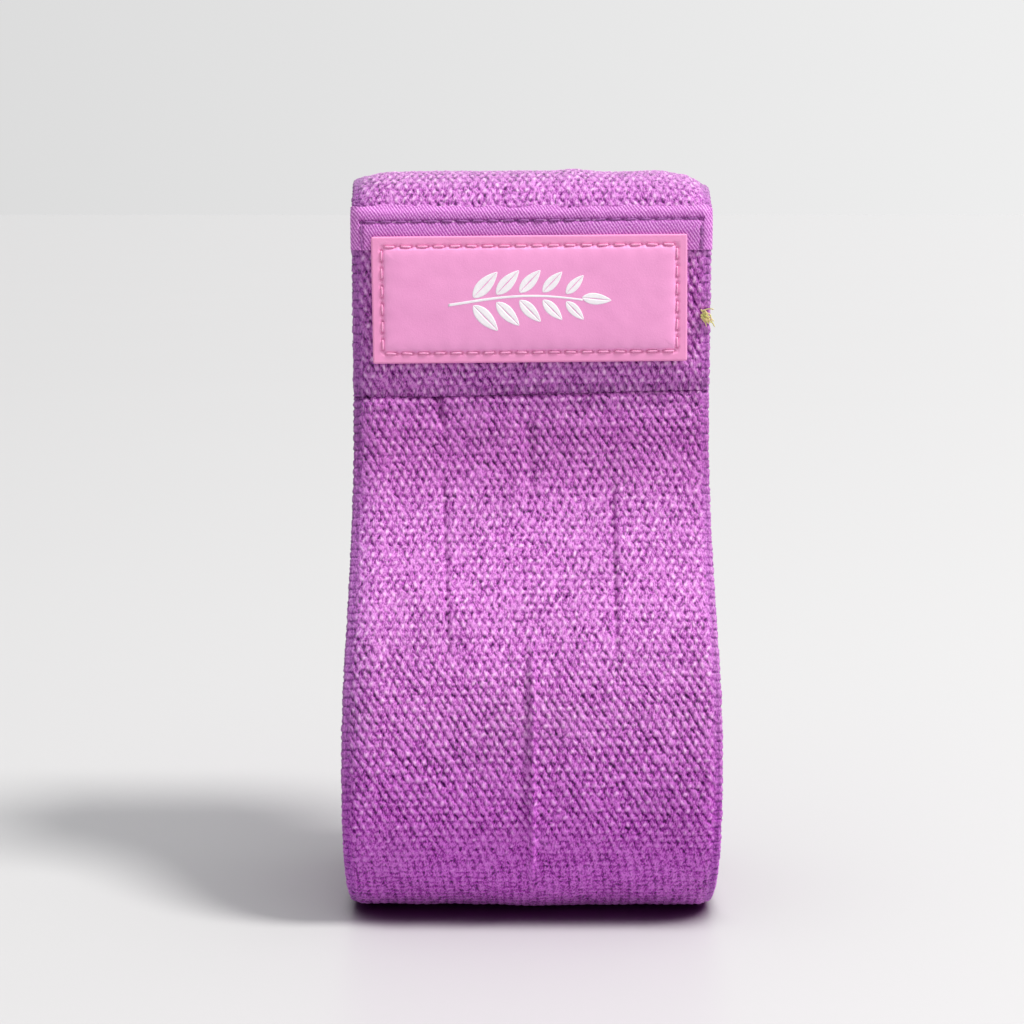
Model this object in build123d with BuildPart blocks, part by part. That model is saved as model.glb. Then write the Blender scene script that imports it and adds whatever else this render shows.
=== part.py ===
from build123d import *
import math
import os

os.makedirs("parts", exist_ok=True)

# A fabric hip resistance band: one wide strip of woven elastic sewn into a
# loop, laid flat (two plies), then folded in half so that it stands on the
# fold.  X runs across the width of the band, the label faces -Y, +Z is up,
# and the origin is the middle of the flat patch the band rests on.
# The front half is on the -Y side, the back half on the +Y side.
# All lengths in millimetres, all angles in degrees.

# --- Band ------------------------------------------------------------------
width_fold = 80.0          # flat patch and bends
width_leg = 79.5           # just above the bulge
width_span = 78.6          # elastic span below the joint seam
width_end = 78.0           # sewn joint and the two end loops
ply = 2.0                  # thickness of the woven elastic
gap = 0.8                  # room between the plies for the rubber strips
stack = 2 * ply + gap      # two plies and the room between them
patch = 12.0               # half depth (Y) of the flat rest patch
clear = 0.01               # hairline between touching pieces
ply_gap = 0.05             # gap between the pieces of the sewn joint

grip_t = 0.35              # thickness of one rubber strip
grip_w = 4.0               # width of one rubber strip
grip_pitch = 18.5          # spacing of the three rubber strips
grip_rows = [-grip_pitch, 0.0, grip_pitch]

z_leg = 58.0               # the bend ends and the leg begins
z_span = 66.0              # the leg ends and the elastic span begins
z_seam = 112.0             # the joint seam

# Top bends of the two end loops: outer radius and centre (Y, Z)
front_r, front_cy, front_cz = 12.0, 8.0, 148.0
back_r, back_cy, back_cz = 10.0, 31.0, 145.0
y_panel = front_cy - front_r   # front face of the upright label panel

# --- Side profiles: tables of (Y, Z) ----------------------------------------
# Outer face of the bulge from the end of the rest patch up, as on the back half
bulge = [
    (patch, 0.0), (15.0, 0.4), (18.5, 1.5), (24.2, 5.6), (28.8, 11.6), (32.0, 19.5),
    (33.3, 28.0), (33.2, 36.5), (32.0, 45.0), (29.6, 53.0), (26.0, 60.5), (21.6, 68.0),
]
# Outer face of the front half: the bulge mirrored, then up to the seam
front_face = [(-y, z) for y, z in bulge] + [
    (-16.8, 75.0), (-12.2, 82.0), (-8.4, 89.0), (-5.8, 96.0),
    (-4.6, 101.5), (-3.7, 106.0), (-2.6, 109.5), (-1.95, 112.0),
]
# Outer face of the back half: the bulge, then leaning back to its top bend
back_face = bulge + [
    (16.9, 75.0), (12.6, 82.0), (9.3, 88.5), (7.6, 95.0),
    (7.9, 101.0), (10.2, 107.0), (14.0, 113.0), (19.2, 119.5), (25.4, 126.5),
    (31.8, 133.0), (37.8, 138.8), (41.0, 145.0),
]
# Inner plies above the place where they leave the outer ply:
# rear face of the front half's, front face of the back half's
front_rear = [
    (0.9, 102.0), (4.2, 109.0), (8.3, 116.5), (12.6, 124.0), (16.4, 132.0),
    (19.1, 140.0), (20.0, 148.0),
]
back_front = [
    (2.6, 101.5), (4.6, 107.0), (7.7, 113.0), (11.2, 119.0), (14.8, 125.5),
    (18.0, 132.0), (20.2, 138.5), (21.0, 145.0),
]
# Heights at which the inner face is set off from the outer face
stacked_heights = [z for _, z in bulge[2:]] + [75.0, 82.0, 89.0, 95.0]


# --- Guide curves and outlines ----------------------------------------------
# Helpers with a BuildLine return edges; call them inside the sketch that uses them.
def save(name, builder):
    """Label a finished piece and write its STEP file."""
    builder.part.label = name
    export_step(builder.part, f"parts/{name}.step")


def guide(points):
    """A smooth curve through (Y, Z) points."""
    with BuildLine(Plane.YZ):
        curve = Spline(*points)
    return curve


def at_height(curve, height):
    """The parameter at which a rising guide curve reaches a height."""
    low, high = 0.0, 1.0
    for _ in range(48):
        middle = (low + high) / 2
        if (curve @ middle).Z < height:
            low = middle
        else:
            high = middle
    return (low + high) / 2


def beside(curve, u, distance, side):
    """A point beside a guide curve: side +1 measures towards +Y, side -1 towards -Y."""
    point, tangent = curve @ u, curve % u
    return (point.Y + side * tangent.Z * distance, point.Z - side * tangent.Y * distance)


def along(curve, u0, u1, distance, side, count):
    """Evenly spaced points beside a guide curve."""
    return [
        beside(curve, u0 + (u1 - u0) * i / (count - 1), distance, side)
        for i in range(count)
    ]


def above(curve, z0, distance, side):
    """Points beside a guide curve from a height to its top end."""
    return along(curve, at_height(curve, z0), 1.0, distance, side, 12)


def inner_guide(outer, side, top_points):
    """The inner face of a half: one stack inside its outer face, then its own way up."""
    stacked = [beside(outer, at_height(outer, z), stack, side) for z in stacked_heights]
    return guide([(-side * patch, stack), *stacked, *top_points])


def ribbon(curve, z0, z1, near, far, side, count):
    """A closed strip between two distances beside a guide curve; z0 None is its start."""
    u0 = 0.0 if z0 is None else at_height(curve, z0)
    u1 = at_height(curve, z1)
    near_points = along(curve, u0, u1, near, side, count)
    far_points = along(curve, u0, u1, far, side, count)
    if z0 is None:  # square off against the flat rest patch
        start = curve @ 0
        near_points[0] = (start.Y, start.Z + near)
        far_points[0] = (start.Y, start.Z + far)
    with BuildLine() as outline:
        Spline(*near_points)
        Line(near_points[-1], far_points[-1])
        Spline(*reversed(far_points))
        Line(far_points[0], near_points[0])
    return outline.edges()


def end_loop(rear, rear_in, front, front_in, cy, cz, radius, near, far):
    """Outline of an end loop: up the front, over the top bend, down the rear, back inside.

    Near and far are the depths of its two faces below the bend's outer radius.
    """
    r_out, r_in = radius - near, radius - far
    rear = [(cy + r_out, cz)] + rear[1:]
    rear_in = [(cy + r_in, cz)] + rear_in[1:]
    front = front[:-1] + [(cy - r_out, cz)]
    front_in = front_in[:-1] + [(cy - r_in, cz)]
    with BuildLine() as outline:
        Spline(*front) if len(front) > 2 else Line(*front)
        ThreePointArc((cy - r_out, cz), (cy, cz + r_out), (cy + r_out, cz))
        Spline(*rear)
        Line(rear[-1], rear_in[-1])
        Spline(*reversed(rear_in))
        ThreePointArc((cy + r_in, cz), (cy, cz + r_in), (cy - r_in, cz))
        Spline(*reversed(front_in)) if len(front_in) > 2 else Line(*reversed(front_in))
        Line(front_in[0], front[0])
    return outline.edges()


front_outer = guide(front_face)
back_outer = guide(back_face)
front_inner = inner_guide(front_outer, 1, front_rear)
back_inner = inner_guide(back_outer, -1, back_front)


# --- Fold: the part that rests on the floor --------------------------------
def flat_block(name, y, z, depth, height, width):
    """A block centred on (y, z), across the band."""
    with BuildPart() as block:
        with BuildSketch(Plane.YZ):
            with Locations((y, z)):
                Rectangle(depth, height)
        extrude(amount=width / 2, both=True)
    save(name, block)


flat_block("fold_outer_patch", 0, ply / 2, 2 * patch, ply, width_fold)
flat_block("fold_inner_patch", 0, ply * 1.5 + gap, 2 * patch, ply, width_fold)

with BuildPart() as fold_grip_strips:
    for x in grip_rows:
        with BuildSketch(Plane.YZ.offset(x)):
            with Locations((0, ply + grip_t / 2), (0, ply + gap - grip_t / 2)):
                Rectangle(2 * patch, grip_t)
        extrude(amount=grip_w / 2, both=True)
save("fold_grip_strips", fold_grip_strips)


# --- Bend, leg and span of both halves --------------------------------------
def ply_sheet(name, width, curve, z0, z1, near, far, side, count):
    """One ply of the band between two heights."""
    with BuildPart() as sheet:
        with BuildSketch(Plane.YZ):
            make_face(ribbon(curve, z0, z1, near, far, side, count))
        extrude(amount=width / 2, both=True)
    save(name, sheet)


def grip_strips(name, outer, inner, z0, z1, side, count):
    """The rubber strips on the facing sides of both plies between two heights."""
    with BuildPart() as strips:
        for x in grip_rows:
            with BuildSketch(Plane.YZ.offset(x)):
                make_face(ribbon(outer, z0, z1, ply + clear, ply + grip_t, side, count))
                make_face(ribbon(inner, z0, z1, -ply - grip_t, -ply - clear, side, count))
            extrude(amount=grip_w / 2, both=True)
    save(name, strips)


# Half, outer guide, inner guide, side on which its inside lies
halves = [
    ("front", front_outer, front_inner, 1),
    ("back", back_outer, back_inner, -1),
]
# Zone, lower and upper height, width, points along each face
zones = [
    ("bend", None, z_leg, width_fold, 22),
    ("leg", z_leg, z_span, width_leg, 6),
    ("span", z_span, z_seam, width_span, 16),
]
for half, outer, inner, side in halves:
    for zone, z0, z1, width, count in zones:
        piece = f"{half}_{zone}"
        ply_sheet(f"{piece}_outer", width, outer, z0, z1, 0, ply, side, count)
        ply_sheet(f"{piece}_inner", width, inner, z0, z1, -ply, 0, side, count)
        grip_strips(f"{piece}_grips", outer, inner, z0, z1, side, count)

# --- Label end: the sewn joint and the top bend ----------------------------
z_panel = z_seam + ply_gap     # foot of the upright panel
with BuildPart() as label_end_loop:
    with BuildSketch(Plane.YZ):
        make_face(end_loop(
            above(front_inner, z_seam, 0, 1)[::-1],
            above(front_inner, z_seam, -ply, 1)[::-1],
            [(y_panel, z_panel), (y_panel, front_cz)],
            [(y_panel + ply, z_panel), (y_panel + ply, front_cz)],
            front_cy, front_cz, front_r, 0, ply,
        ))
    extrude(amount=width_end / 2, both=True)
save("label_end_loop", label_end_loop)

# Second ply of the joint, behind the panel
overlap_top = front_cz - 0.5
overlap_y = y_panel + ply + ply_gap
flat_block(
    "overlap_ply", overlap_y + ply / 2, (z_seam + overlap_top) / 2,
    ply, overlap_top - z_seam, width_end,
)

# Strips under the top bend and down the rear ply, and up the overlap ply
grip_lift = 1.0            # the rear strips start this far above the seam
grip_short = 3.0           # the overlap strips are shorter than the joint by this
grip_r_out, grip_r_in = front_r - ply - clear, front_r - ply - grip_t
rear_out = above(front_inner, z_seam + grip_lift, -ply - clear, 1)[::-1]
rear_in = above(front_inner, z_seam + grip_lift, -ply - grip_t, 1)[::-1]
rear_out[0] = (front_cy + grip_r_out, front_cz)
rear_in[0] = (front_cy + grip_r_in, front_cz)
bend_out = [
    (front_cy - grip_r_out, front_cz), (front_cy, front_cz + grip_r_out), rear_out[0],
]
bend_in = [
    rear_in[0], (front_cy, front_cz + grip_r_in), (front_cy - grip_r_in, front_cz),
]
with BuildPart() as label_end_grips:
    for x in grip_rows:
        with BuildSketch(Plane.YZ.offset(x)):
            with BuildLine():
                ThreePointArc(*bend_out)
                Spline(*rear_out)
                Line(rear_out[-1], rear_in[-1])
                Spline(*reversed(rear_in))
                ThreePointArc(*bend_in)
                Line(bend_in[-1], bend_out[0])
            make_face()
            with Locations((overlap_y + ply + clear + grip_t / 2, (z_seam + front_cz) / 2)):
                Rectangle(grip_t, front_cz - z_seam - grip_short)
        extrude(amount=grip_w / 2, both=True)
save("label_end_grips", label_end_grips)

# --- Reinforcing tape: a flat layer over the joint with a flange down each edge
tape_t = 0.6               # thickness
tape_z0, tape_z1 = 142.8, 152.4
tape_over = 0.6            # tape standing past each edge of the band
flange_depth = 1.7         # how far the flanges reach in from the panel face
tape_angle = math.degrees(math.asin((tape_z1 - front_cz) / front_r))


def on_bend(radius, angle):
    """A point about the centre of the front top bend."""
    return (front_cy + radius * math.cos(angle), front_cz + radius * math.sin(angle))


def tape_outline(r_out, r_in):
    """Side outline of the tape: upright below the bend centre, curved above it."""
    top = math.radians(180 - tape_angle)
    middle = math.radians(180 - tape_angle / 2)
    y_out, y_in = front_cy - r_out, front_cy - r_in
    with BuildLine() as outline:
        Line((y_out, tape_z0), (y_out, front_cz))
        ThreePointArc((y_out, front_cz), on_bend(r_out, middle), on_bend(r_out, top))
        Line(on_bend(r_out, top), on_bend(r_in, top))
        ThreePointArc(on_bend(r_in, top), on_bend(r_in, middle), (y_in, front_cz))
        Line((y_in, front_cz), (y_in, tape_z0))
        Line((y_in, tape_z0), (y_out, tape_z0))
    return outline.edges()


with BuildPart() as reinforcing_tape:
    with BuildSketch(Plane.YZ):
        make_face(tape_outline(front_r + tape_t, front_r + clear))
    extrude(amount=width_end / 2 + tape_over, both=True)
    for side in (-1, 1):
        with BuildSketch(Plane.YZ.offset(side * (width_end / 2 + tape_over / 2 + clear))):
            make_face(tape_outline(front_r + tape_t, front_r - flange_depth))
        extrude(amount=tape_over / 2 - clear, both=True)
save("reinforcing_tape", reinforcing_tape)

# --- Label -----------------------------------------------------------------
label_w, label_h = 68.0, 27.3
label_x = -0.4             # the label sits a touch left of the middle
label_z = 132.35           # label centre height
label_tilt = 0.55          # the label is sewn on slightly turned
label_t = 0.8              # backing thickness
label_gap = 0.05           # between the backing and the tape's front face
pad_inset = 2.9            # pad edge in from the backing edge
pad_t = 0.65               # height of the pad's face above the backing
motif_t = 0.12             # thickness of the leaf sprig

# On the backing's rear face: x across the label, y up it, z out to the front
tilt = math.radians(label_tilt)
label_plane = Plane(
    origin=(label_x, y_panel - tape_t - label_gap, label_z),
    x_dir=(math.cos(tilt), 0, math.sin(tilt)),
    z_dir=(0, -1, 0),
)


def label_layer(name, lift, width, height, corner, thickness, edge_round):
    """A rounded rectangle parallel to the label with its front edges softened."""
    with BuildPart() as layer:
        with BuildSketch(label_plane.offset(lift)):
            RectangleRounded(width, height, corner)
        extrude(amount=thickness)
        fillet(layer.faces().sort_by(Axis.Y)[0].edges(), edge_round)
    save(name, layer)


label_layer(
    "label_backing", lift=0, width=label_w, height=label_h,
    corner=1.2, thickness=label_t, edge_round=0.3,
)
label_layer(
    "label_pad", lift=label_t + clear,
    width=label_w - 2 * pad_inset, height=label_h - 2 * pad_inset,
    corner=1.0, thickness=pad_t - clear, edge_round=0.55,
)

# Leaf sprig: a gently bowed stem with paired leaves and one at the tip
leaf_l, leaf_w = 7.6, 3.0      # a full-size leaf
leaf_turn = 46                 # angle of the paired leaves from the label's x
leaf_shrink = 0.07             # each pair is this much smaller than the last
leaf_gap = 0.45                # from its base point to the root of a leaf
leaf_lift = 0.5                # base point above or below the stem's middle
leaf_pairs = (-12.5, -7.5, -2.5, 2.5, 7.5)
stem_w = 0.56
stem_bow, stem_rate, stem_drop = 1.3, 6.5, 0.6   # height, degrees per mm, offset
stem_x = (-17.5, -14.0, -10.0, -6.0, -2.0, 2.0, 6.0, 10.6)


def stem_y(x):
    """Height of the stem's middle."""
    return stem_bow * math.cos(math.radians(x * stem_rate)) - stem_drop


def leaf(x, y, turn, length, across):
    """The outline of one leaf, from two arcs that meet in a point at each end."""
    c, s = math.cos(math.radians(turn)), math.sin(math.radians(turn))
    root = (x - c * length / 2, y - s * length / 2)
    tip = (x + c * length / 2, y + s * length / 2)
    with BuildLine() as outline:
        ThreePointArc(root, (x - s * across / 2, y + c * across / 2), tip)
        ThreePointArc(tip, (x + s * across / 2, y - c * across / 2), root)
    return outline.edges()


# Each leaf: centre x, centre y, turn, length, width; the first is the tip leaf
leaves = [(14.4, stem_y(11.0) + 0.1, -6, 6.4, 2.4)]
for i, x in enumerate(leaf_pairs):
    scale = 1.0 - leaf_shrink * i
    reach = leaf_gap + leaf_l * scale / 2
    for up in (1, -1):
        turn = up * leaf_turn
        leaves.append((
            x + reach * math.cos(math.radians(turn)),
            stem_y(x) + up * leaf_lift + reach * math.sin(math.radians(turn)),
            turn, leaf_l * scale, leaf_w * scale,
        ))

stem_top = [(x, stem_y(x) + stem_w / 2) for x in stem_x]
stem_bottom = [(x, stem_y(x) - stem_w / 2) for x in stem_x]
with BuildPart() as label_motif:
    with BuildSketch(label_plane.offset(label_t + pad_t + clear)):
        for spot in leaves:
            make_face(leaf(*spot))
        with BuildLine():
            Spline(*stem_top)
            Line(stem_top[-1], stem_bottom[-1])
            Spline(*reversed(stem_bottom))
            Line(stem_bottom[0], stem_top[0])
        make_face()
    extrude(amount=motif_t)
save("label_motif", label_motif)

# --- Stitching: each stitch is a short flat bar with round ends --------------
# Label: a rectangle of stitches around the pad
stitch_inset = 2.2             # stitch row in from the backing edge
label_stitch_l, label_stitch_d, label_stitch_t = 2.9, 0.42, 0.3
label_stitch_lift = 0.02       # above the backing
run_x, run_y = label_w - 2 * stitch_inset, label_h - 2 * stitch_inset
count_x, count_y = 17, 6
label_spots = []               # x, y, turn
for i in range(count_x):
    x = -run_x / 2 + run_x * (i + 0.5) / count_x
    label_spots += [(x, run_y / 2, 0), (x, -run_y / 2, 0)]
for i in range(count_y):
    y = -run_y / 2 + run_y * (i + 0.5) / count_y
    label_spots += [(run_x / 2, y, 90), (-run_x / 2, y, 90)]

with BuildPart() as label_stitching:
    with BuildSketch(label_plane.offset(label_t + label_stitch_lift)):
        for x, y, turn in label_spots:
            with Locations(Location((x, y), turn)):
                SlotOverall(label_stitch_l, label_stitch_d)
    extrude(amount=label_stitch_t)
save("label_stitching", label_stitching)

# Tape: one row across, and two upright stitches below it near each end
tape_stitch_l, tape_stitch_d, tape_stitch_t = 2.3, 0.45, 0.32
tape_stitch_z = 149.0
tape_stitch_lift = 0.35        # in front of the tape's upright face
tape_stitch_pitch, tape_stitch_count = 3.3, 22
tape_end_x, tape_end_drops = 36.9, (-1.9, -4.9)
tape_plane = Plane(
    origin=(0, y_panel - tape_t - tape_stitch_lift, tape_stitch_z),
    x_dir=(1, 0, 0), z_dir=(0, -1, 0),
)
with BuildPart() as tape_stitching:
    with BuildSketch(tape_plane):
        with GridLocations(tape_stitch_pitch, 1, tape_stitch_count, 1):
            SlotOverall(tape_stitch_l, tape_stitch_d)
    extrude(amount=tape_stitch_t)
    with BuildSketch(tape_plane):
        for side in (-1, 1):
            with Locations(*[Location((side * tape_end_x, y), 90) for y in tape_end_drops]):
                SlotOverall(tape_stitch_l, tape_stitch_d)
    extrude(amount=tape_stitch_t)
save("tape_stitching", tape_stitching)

# Joint seam: a row of nearly upright stitches along the foot of the panel
seam_stitch_l, seam_stitch_d, seam_stitch_t = 2.2, 0.45, 0.35
seam_stitch_pitch, seam_stitch_count, seam_stitch_turn = 2.55, 30, 80
seam_stitch_lift = 0.02        # in front of the panel
seam_stitch_rise = 1.3         # above the seam
seam_plane = Plane(
    origin=(0, y_panel - seam_stitch_lift, z_seam + seam_stitch_rise),
    x_dir=(1, 0, 0), z_dir=(0, -1, 0),
)
with BuildPart() as joint_seam_stitching:
    with BuildSketch(seam_plane):
        with GridLocations(seam_stitch_pitch, 1, seam_stitch_count, 1):
            with Locations(Location((0, 0), seam_stitch_turn)):
                SlotOverall(seam_stitch_l, seam_stitch_d)
    extrude(amount=seam_stitch_t)
save("joint_seam_stitching", joint_seam_stitching)

# --- Loose thread ends at the right-hand (+X) edge ---------------------------
thread_r = 0.22
# Start, middle and end of each thread (X, Y, Z)
threads = [
    ((39.25, -3.2, 129.6), (40.6, -4.4, 130.2), (41.6, -5.3, 129.2)),
    ((39.25, -3.2, 128.4), (40.8, -4.6, 128.0), (41.9, -5.4, 126.9)),
    ((39.25, -3.2, 127.2), (40.4, -4.2, 126.3), (41.0, -4.9, 124.9)),
]
with BuildPart() as thread_tuft:
    for start, middle, end in threads:
        with BuildLine() as thread_path:
            Spline(start, middle, end)
        with BuildSketch(Plane(origin=start, z_dir=thread_path.line % 0)):
            Circle(thread_r)
        sweep(path=thread_path.line)
save("thread_tuft", thread_tuft)


# --- End loop of the back half ----------------------------------------------
def back_loop(near, far):
    """Outline of a layer of the back end loop between two depths below its outer face."""
    return end_loop(
        above(back_outer, z_seam, near, -1)[::-1],
        above(back_outer, z_seam, far, -1)[::-1],
        above(back_inner, z_seam, -near, -1),
        above(back_inner, z_seam, -far, -1),
        back_cy, back_cz, back_r, near, far,
    )


with BuildPart() as back_end_loop:
    with BuildSketch(Plane.YZ):
        make_face(back_loop(0, ply))
    extrude(amount=width_end / 2, both=True)
save("back_end_loop", back_end_loop)

with BuildPart() as back_end_grips:
    for x in grip_rows:
        with BuildSketch(Plane.YZ.offset(x)):
            make_face(back_loop(ply + clear, ply + grip_t))
        extrude(amount=grip_w / 2, both=True)
save("back_end_grips", back_end_grips)
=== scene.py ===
"""A wide strip of woven elastic folded into two arms, with a sewn label on the front one.

The fold rests on the floor at z = 0 and the arms rise from it, each ending in a loop.
X runs across the band, -Y is the front, where the label is, and +Z is up.
Lengths are in mm unless a comment says otherwise; meshes are scaled to metres when made.
"""
import bmesh
import bpy
import math
import numpy as np
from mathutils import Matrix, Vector


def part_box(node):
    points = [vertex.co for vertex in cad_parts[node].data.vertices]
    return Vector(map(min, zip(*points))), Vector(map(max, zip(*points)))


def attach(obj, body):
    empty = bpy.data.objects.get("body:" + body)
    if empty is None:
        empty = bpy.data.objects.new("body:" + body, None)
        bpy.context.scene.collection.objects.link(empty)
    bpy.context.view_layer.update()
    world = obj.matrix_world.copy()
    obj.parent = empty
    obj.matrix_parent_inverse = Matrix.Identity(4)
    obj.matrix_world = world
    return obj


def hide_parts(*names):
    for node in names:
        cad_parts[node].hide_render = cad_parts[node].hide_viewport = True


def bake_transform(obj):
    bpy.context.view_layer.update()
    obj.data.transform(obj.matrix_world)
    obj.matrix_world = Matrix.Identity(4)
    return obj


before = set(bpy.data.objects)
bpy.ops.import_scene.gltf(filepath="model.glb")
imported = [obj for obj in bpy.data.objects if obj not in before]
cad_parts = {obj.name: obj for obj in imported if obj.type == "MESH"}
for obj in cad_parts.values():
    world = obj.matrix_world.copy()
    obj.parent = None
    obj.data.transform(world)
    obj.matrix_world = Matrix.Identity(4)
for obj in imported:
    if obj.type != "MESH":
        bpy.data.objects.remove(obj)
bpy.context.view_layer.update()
COARSE = 1.0
MM = 0.001                               # metres in a millimetre

# ---------------------------------------------------------------------------
# The strip: one outer-face path in the YZ plane, from the overlap ply's top, down
# the front, under the fold, up the back, over the back end loop, down inside, up
# the inner front ply, over the label end loop and down the label panel.
# The outward normal is (tangent z, -tangent y).
# ---------------------------------------------------------------------------
# Each outline is a list of (y, z), rising.
FRONT_OUTER = [
    (-12.0, 0.0), (-15.0, 0.4), (-18.5, 1.5), (-24.2, 5.6), (-28.8, 11.6), (-32.0, 19.5),
    (-33.3, 28.0), (-33.2, 36.5), (-32.0, 45.0), (-29.6, 53.0), (-26.0, 60.5), (-21.6, 68.0),
    (-16.8, 75.0), (-12.2, 82.0), (-8.4, 89.0), (-5.8, 96.0), (-4.6, 101.5), (-3.7, 106.0),
    (-2.6, 109.5), (-1.95, 112.0)]
FRONT_REAR = [
    (0.9, 102.0), (4.2, 109.0), (8.3, 116.5), (12.6, 124.0), (16.4, 132.0), (19.1, 140.0),
    (20.0, 148.0)]
BACK_OUTER = [
    (12.0, 0.0), (15.0, 0.4), (18.5, 1.5), (24.2, 5.6), (28.8, 11.6), (32.0, 19.5),
    (33.3, 28.0), (33.2, 36.5), (32.0, 45.0), (29.6, 53.0), (26.0, 60.5), (21.6, 68.0),
    (16.9, 75.0), (12.6, 82.0), (9.3, 88.5), (7.6, 95.0), (7.9, 101.0), (10.2, 107.0),
    (14.0, 113.0), (19.2, 119.5), (25.4, 126.5), (31.8, 133.0), (37.8, 138.8), (41.0, 145.0)]
BACK_FRONT = [
    (2.6, 101.5), (4.6, 107.0), (7.7, 113.0), (11.2, 119.0), (14.8, 125.5), (18.0, 132.0),
    (20.2, 138.5), (21.0, 145.0)]
# heights on the outer plies beside which the inner plies are placed
LOW_HEIGHTS = [1.5, 5.6, 11.6, 19.5, 28.0, 36.5, 45.0, 53.0, 60.5, 68.0, 75.0, 82.0, 89.0, 95.0]
PLY = 2.0                                # thickness of the webbing
STACK = 4.8                              # from the outer path to the inner one
FLAT = 12.0                              # half length of the flat under the fold
LABEL_LOOP_RADIUS, LABEL_LOOP_Y, LABEL_LOOP_Z = 12.0, 8.0, 148.0
BACK_LOOP_RADIUS, BACK_LOOP_Y, BACK_LOOP_Z = 10.0, 31.0, 145.0
PANEL_Y = LABEL_LOOP_Y - LABEL_LOOP_RADIUS
OVERLAP_Y = -1.95
STEP = 0.05                              # spacing of path samples
EASE_STEPS, EASE_WIDTH = 60, 0.9         # reach and width of the path's smoothing


def spline(points):
    """A natural cubic spline through points, sampled about every STEP."""
    points = np.array(points, float)
    gaps = np.linalg.norm(np.diff(points, axis=0), axis=1)
    knots = np.concatenate([[0], np.cumsum(gaps)])
    count = len(points)
    system = np.eye(count)
    bends = np.zeros_like(points)
    for i in range(1, count - 1):
        system[i, i - 1:i + 2] = gaps[i - 1], 2 * (gaps[i - 1] + gaps[i]), gaps[i]
        bends[i] = 6 * ((points[i + 1] - points[i]) / gaps[i]
                        - (points[i] - points[i - 1]) / gaps[i - 1])
    second = np.linalg.solve(system, bends)
    query = np.linspace(0, knots[-1], max(2, int(knots[-1] / STEP) + 1))
    i = np.clip(np.searchsorted(knots, query, side="right") - 1, 0, count - 2)
    before = (query - knots[i])[:, None]
    after = (knots[i + 1] - query)[:, None]
    gap = gaps[i][:, None]
    return ((second[i] * after ** 3 + second[i + 1] * before ** 3) / (6 * gap)
            + (points[i] / gap - second[i] * gap / 6) * after
            + (points[i + 1] / gap - second[i + 1] * gap / 6) * before)


def beside(points, heights, distance, side):
    """Points beside a rising curve at the given heights (side +1: towards +Y)."""
    curve = spline(points)
    slope = np.gradient(curve, axis=0)
    slope /= np.linalg.norm(slope, axis=1)[:, None]
    nearest = [int(np.argmin(np.abs(curve[:, 1] - height))) for height in heights]
    return [(curve[i, 0] + side * slope[i, 1] * distance,
             curve[i, 1] - side * slope[i, 0] * distance) for i in nearest]


def half_circle(y, z, radius):
    """From the +Y side over the top to the -Y side."""
    angle = np.radians(np.linspace(0, 180, 600))
    return np.stack([y + radius * np.cos(angle), z + radius * np.sin(angle)], 1)


def line(start, end):
    return np.linspace(start, end, 400)


FRONT_INNER = [(-FLAT, STACK)] + beside(FRONT_OUTER, LOW_HEIGHTS, STACK, 1) + FRONT_REAR
BACK_INNER = [(FLAT, STACK)] + beside(BACK_OUTER, LOW_HEIGHTS, STACK, -1) + BACK_FRONT


def trace_strip():
    """Evenly spaced strip positions, the eased path points and the outward normals there."""
    raw = np.concatenate([
        line((OVERLAP_Y, 147.5), (OVERLAP_Y, 112.6)),
        spline(FRONT_OUTER)[::-1],
        line((-FLAT, 0.0), (FLAT, 0.0)),
        spline(BACK_OUTER),
        half_circle(BACK_LOOP_Y, BACK_LOOP_Z, BACK_LOOP_RADIUS),
        spline(BACK_INNER)[::-1],
        line((FLAT, STACK), (-FLAT, STACK)),
        spline(FRONT_INNER),
        half_circle(LABEL_LOOP_Y, LABEL_LOOP_Z, LABEL_LOOP_RADIUS),
        line((PANEL_Y, LABEL_LOOP_Z), (PANEL_Y, 111.0))])
    moved = np.linalg.norm(np.diff(raw, axis=0), axis=1) > 1e-5
    raw = raw[np.concatenate([[True], moved])]
    lengths = np.linalg.norm(np.diff(raw, axis=0), axis=1)
    raw_along = np.concatenate([[0], np.cumsum(lengths)])
    along = np.arange(0, raw_along[-1], STEP)
    path = np.stack([np.interp(along, raw_along, raw[:, i]) for i in (0, 1)], 1)
    kernel = np.exp(-0.5 * (np.arange(-EASE_STEPS, EASE_STEPS + 1) * STEP / EASE_WIDTH) ** 2)
    kernel /= kernel.sum()
    lead = (path[0] - path[1]) * np.arange(EASE_STEPS, 0, -1)[:, None]
    trail = (path[-1] - path[-2]) * np.arange(1, EASE_STEPS + 1)[:, None]
    extended = np.concatenate([path[0] + lead, path, path[-1] + trail])
    path = np.stack([np.convolve(extended[:, i], kernel, "valid") for i in (0, 1)], 1)
    tangent = np.gradient(path, axis=0)
    tangent /= np.linalg.norm(tangent, axis=1)[:, None]
    return along, path, np.stack([tangent[:, 1], -tangent[:, 0]], 1)


ALONG, PATH, NORMAL = trace_strip()
PATH_Z = PATH[:, 1]
TOTAL = ALONG[-1]


def strip_at(along):
    """y, z and the outward normal's y, z at strip positions."""
    y, z = (np.interp(along, ALONG, PATH[:, i]) for i in (0, 1))
    normal_y, normal_z = (np.interp(along, ALONG, NORMAL[:, i]) for i in (0, 1))
    size = np.hypot(normal_y, normal_z)
    return y, z, normal_y / size, normal_z / size


def nearest_along(y, z, low=0.0, high=TOTAL):
    """The strip position nearest to a point, within a stretch of the strip."""
    inside = (ALONG >= low) & (ALONG <= high)
    distance = np.hypot(PATH[inside, 0] - y, PATH[inside, 1] - z)
    return float(ALONG[inside][np.argmin(distance)])


def along_at(curve, height, low, high):
    """The strip position where an outline reaches a height."""
    return nearest_along(*beside(curve, [height], 0, 1)[0], low, high)


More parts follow.
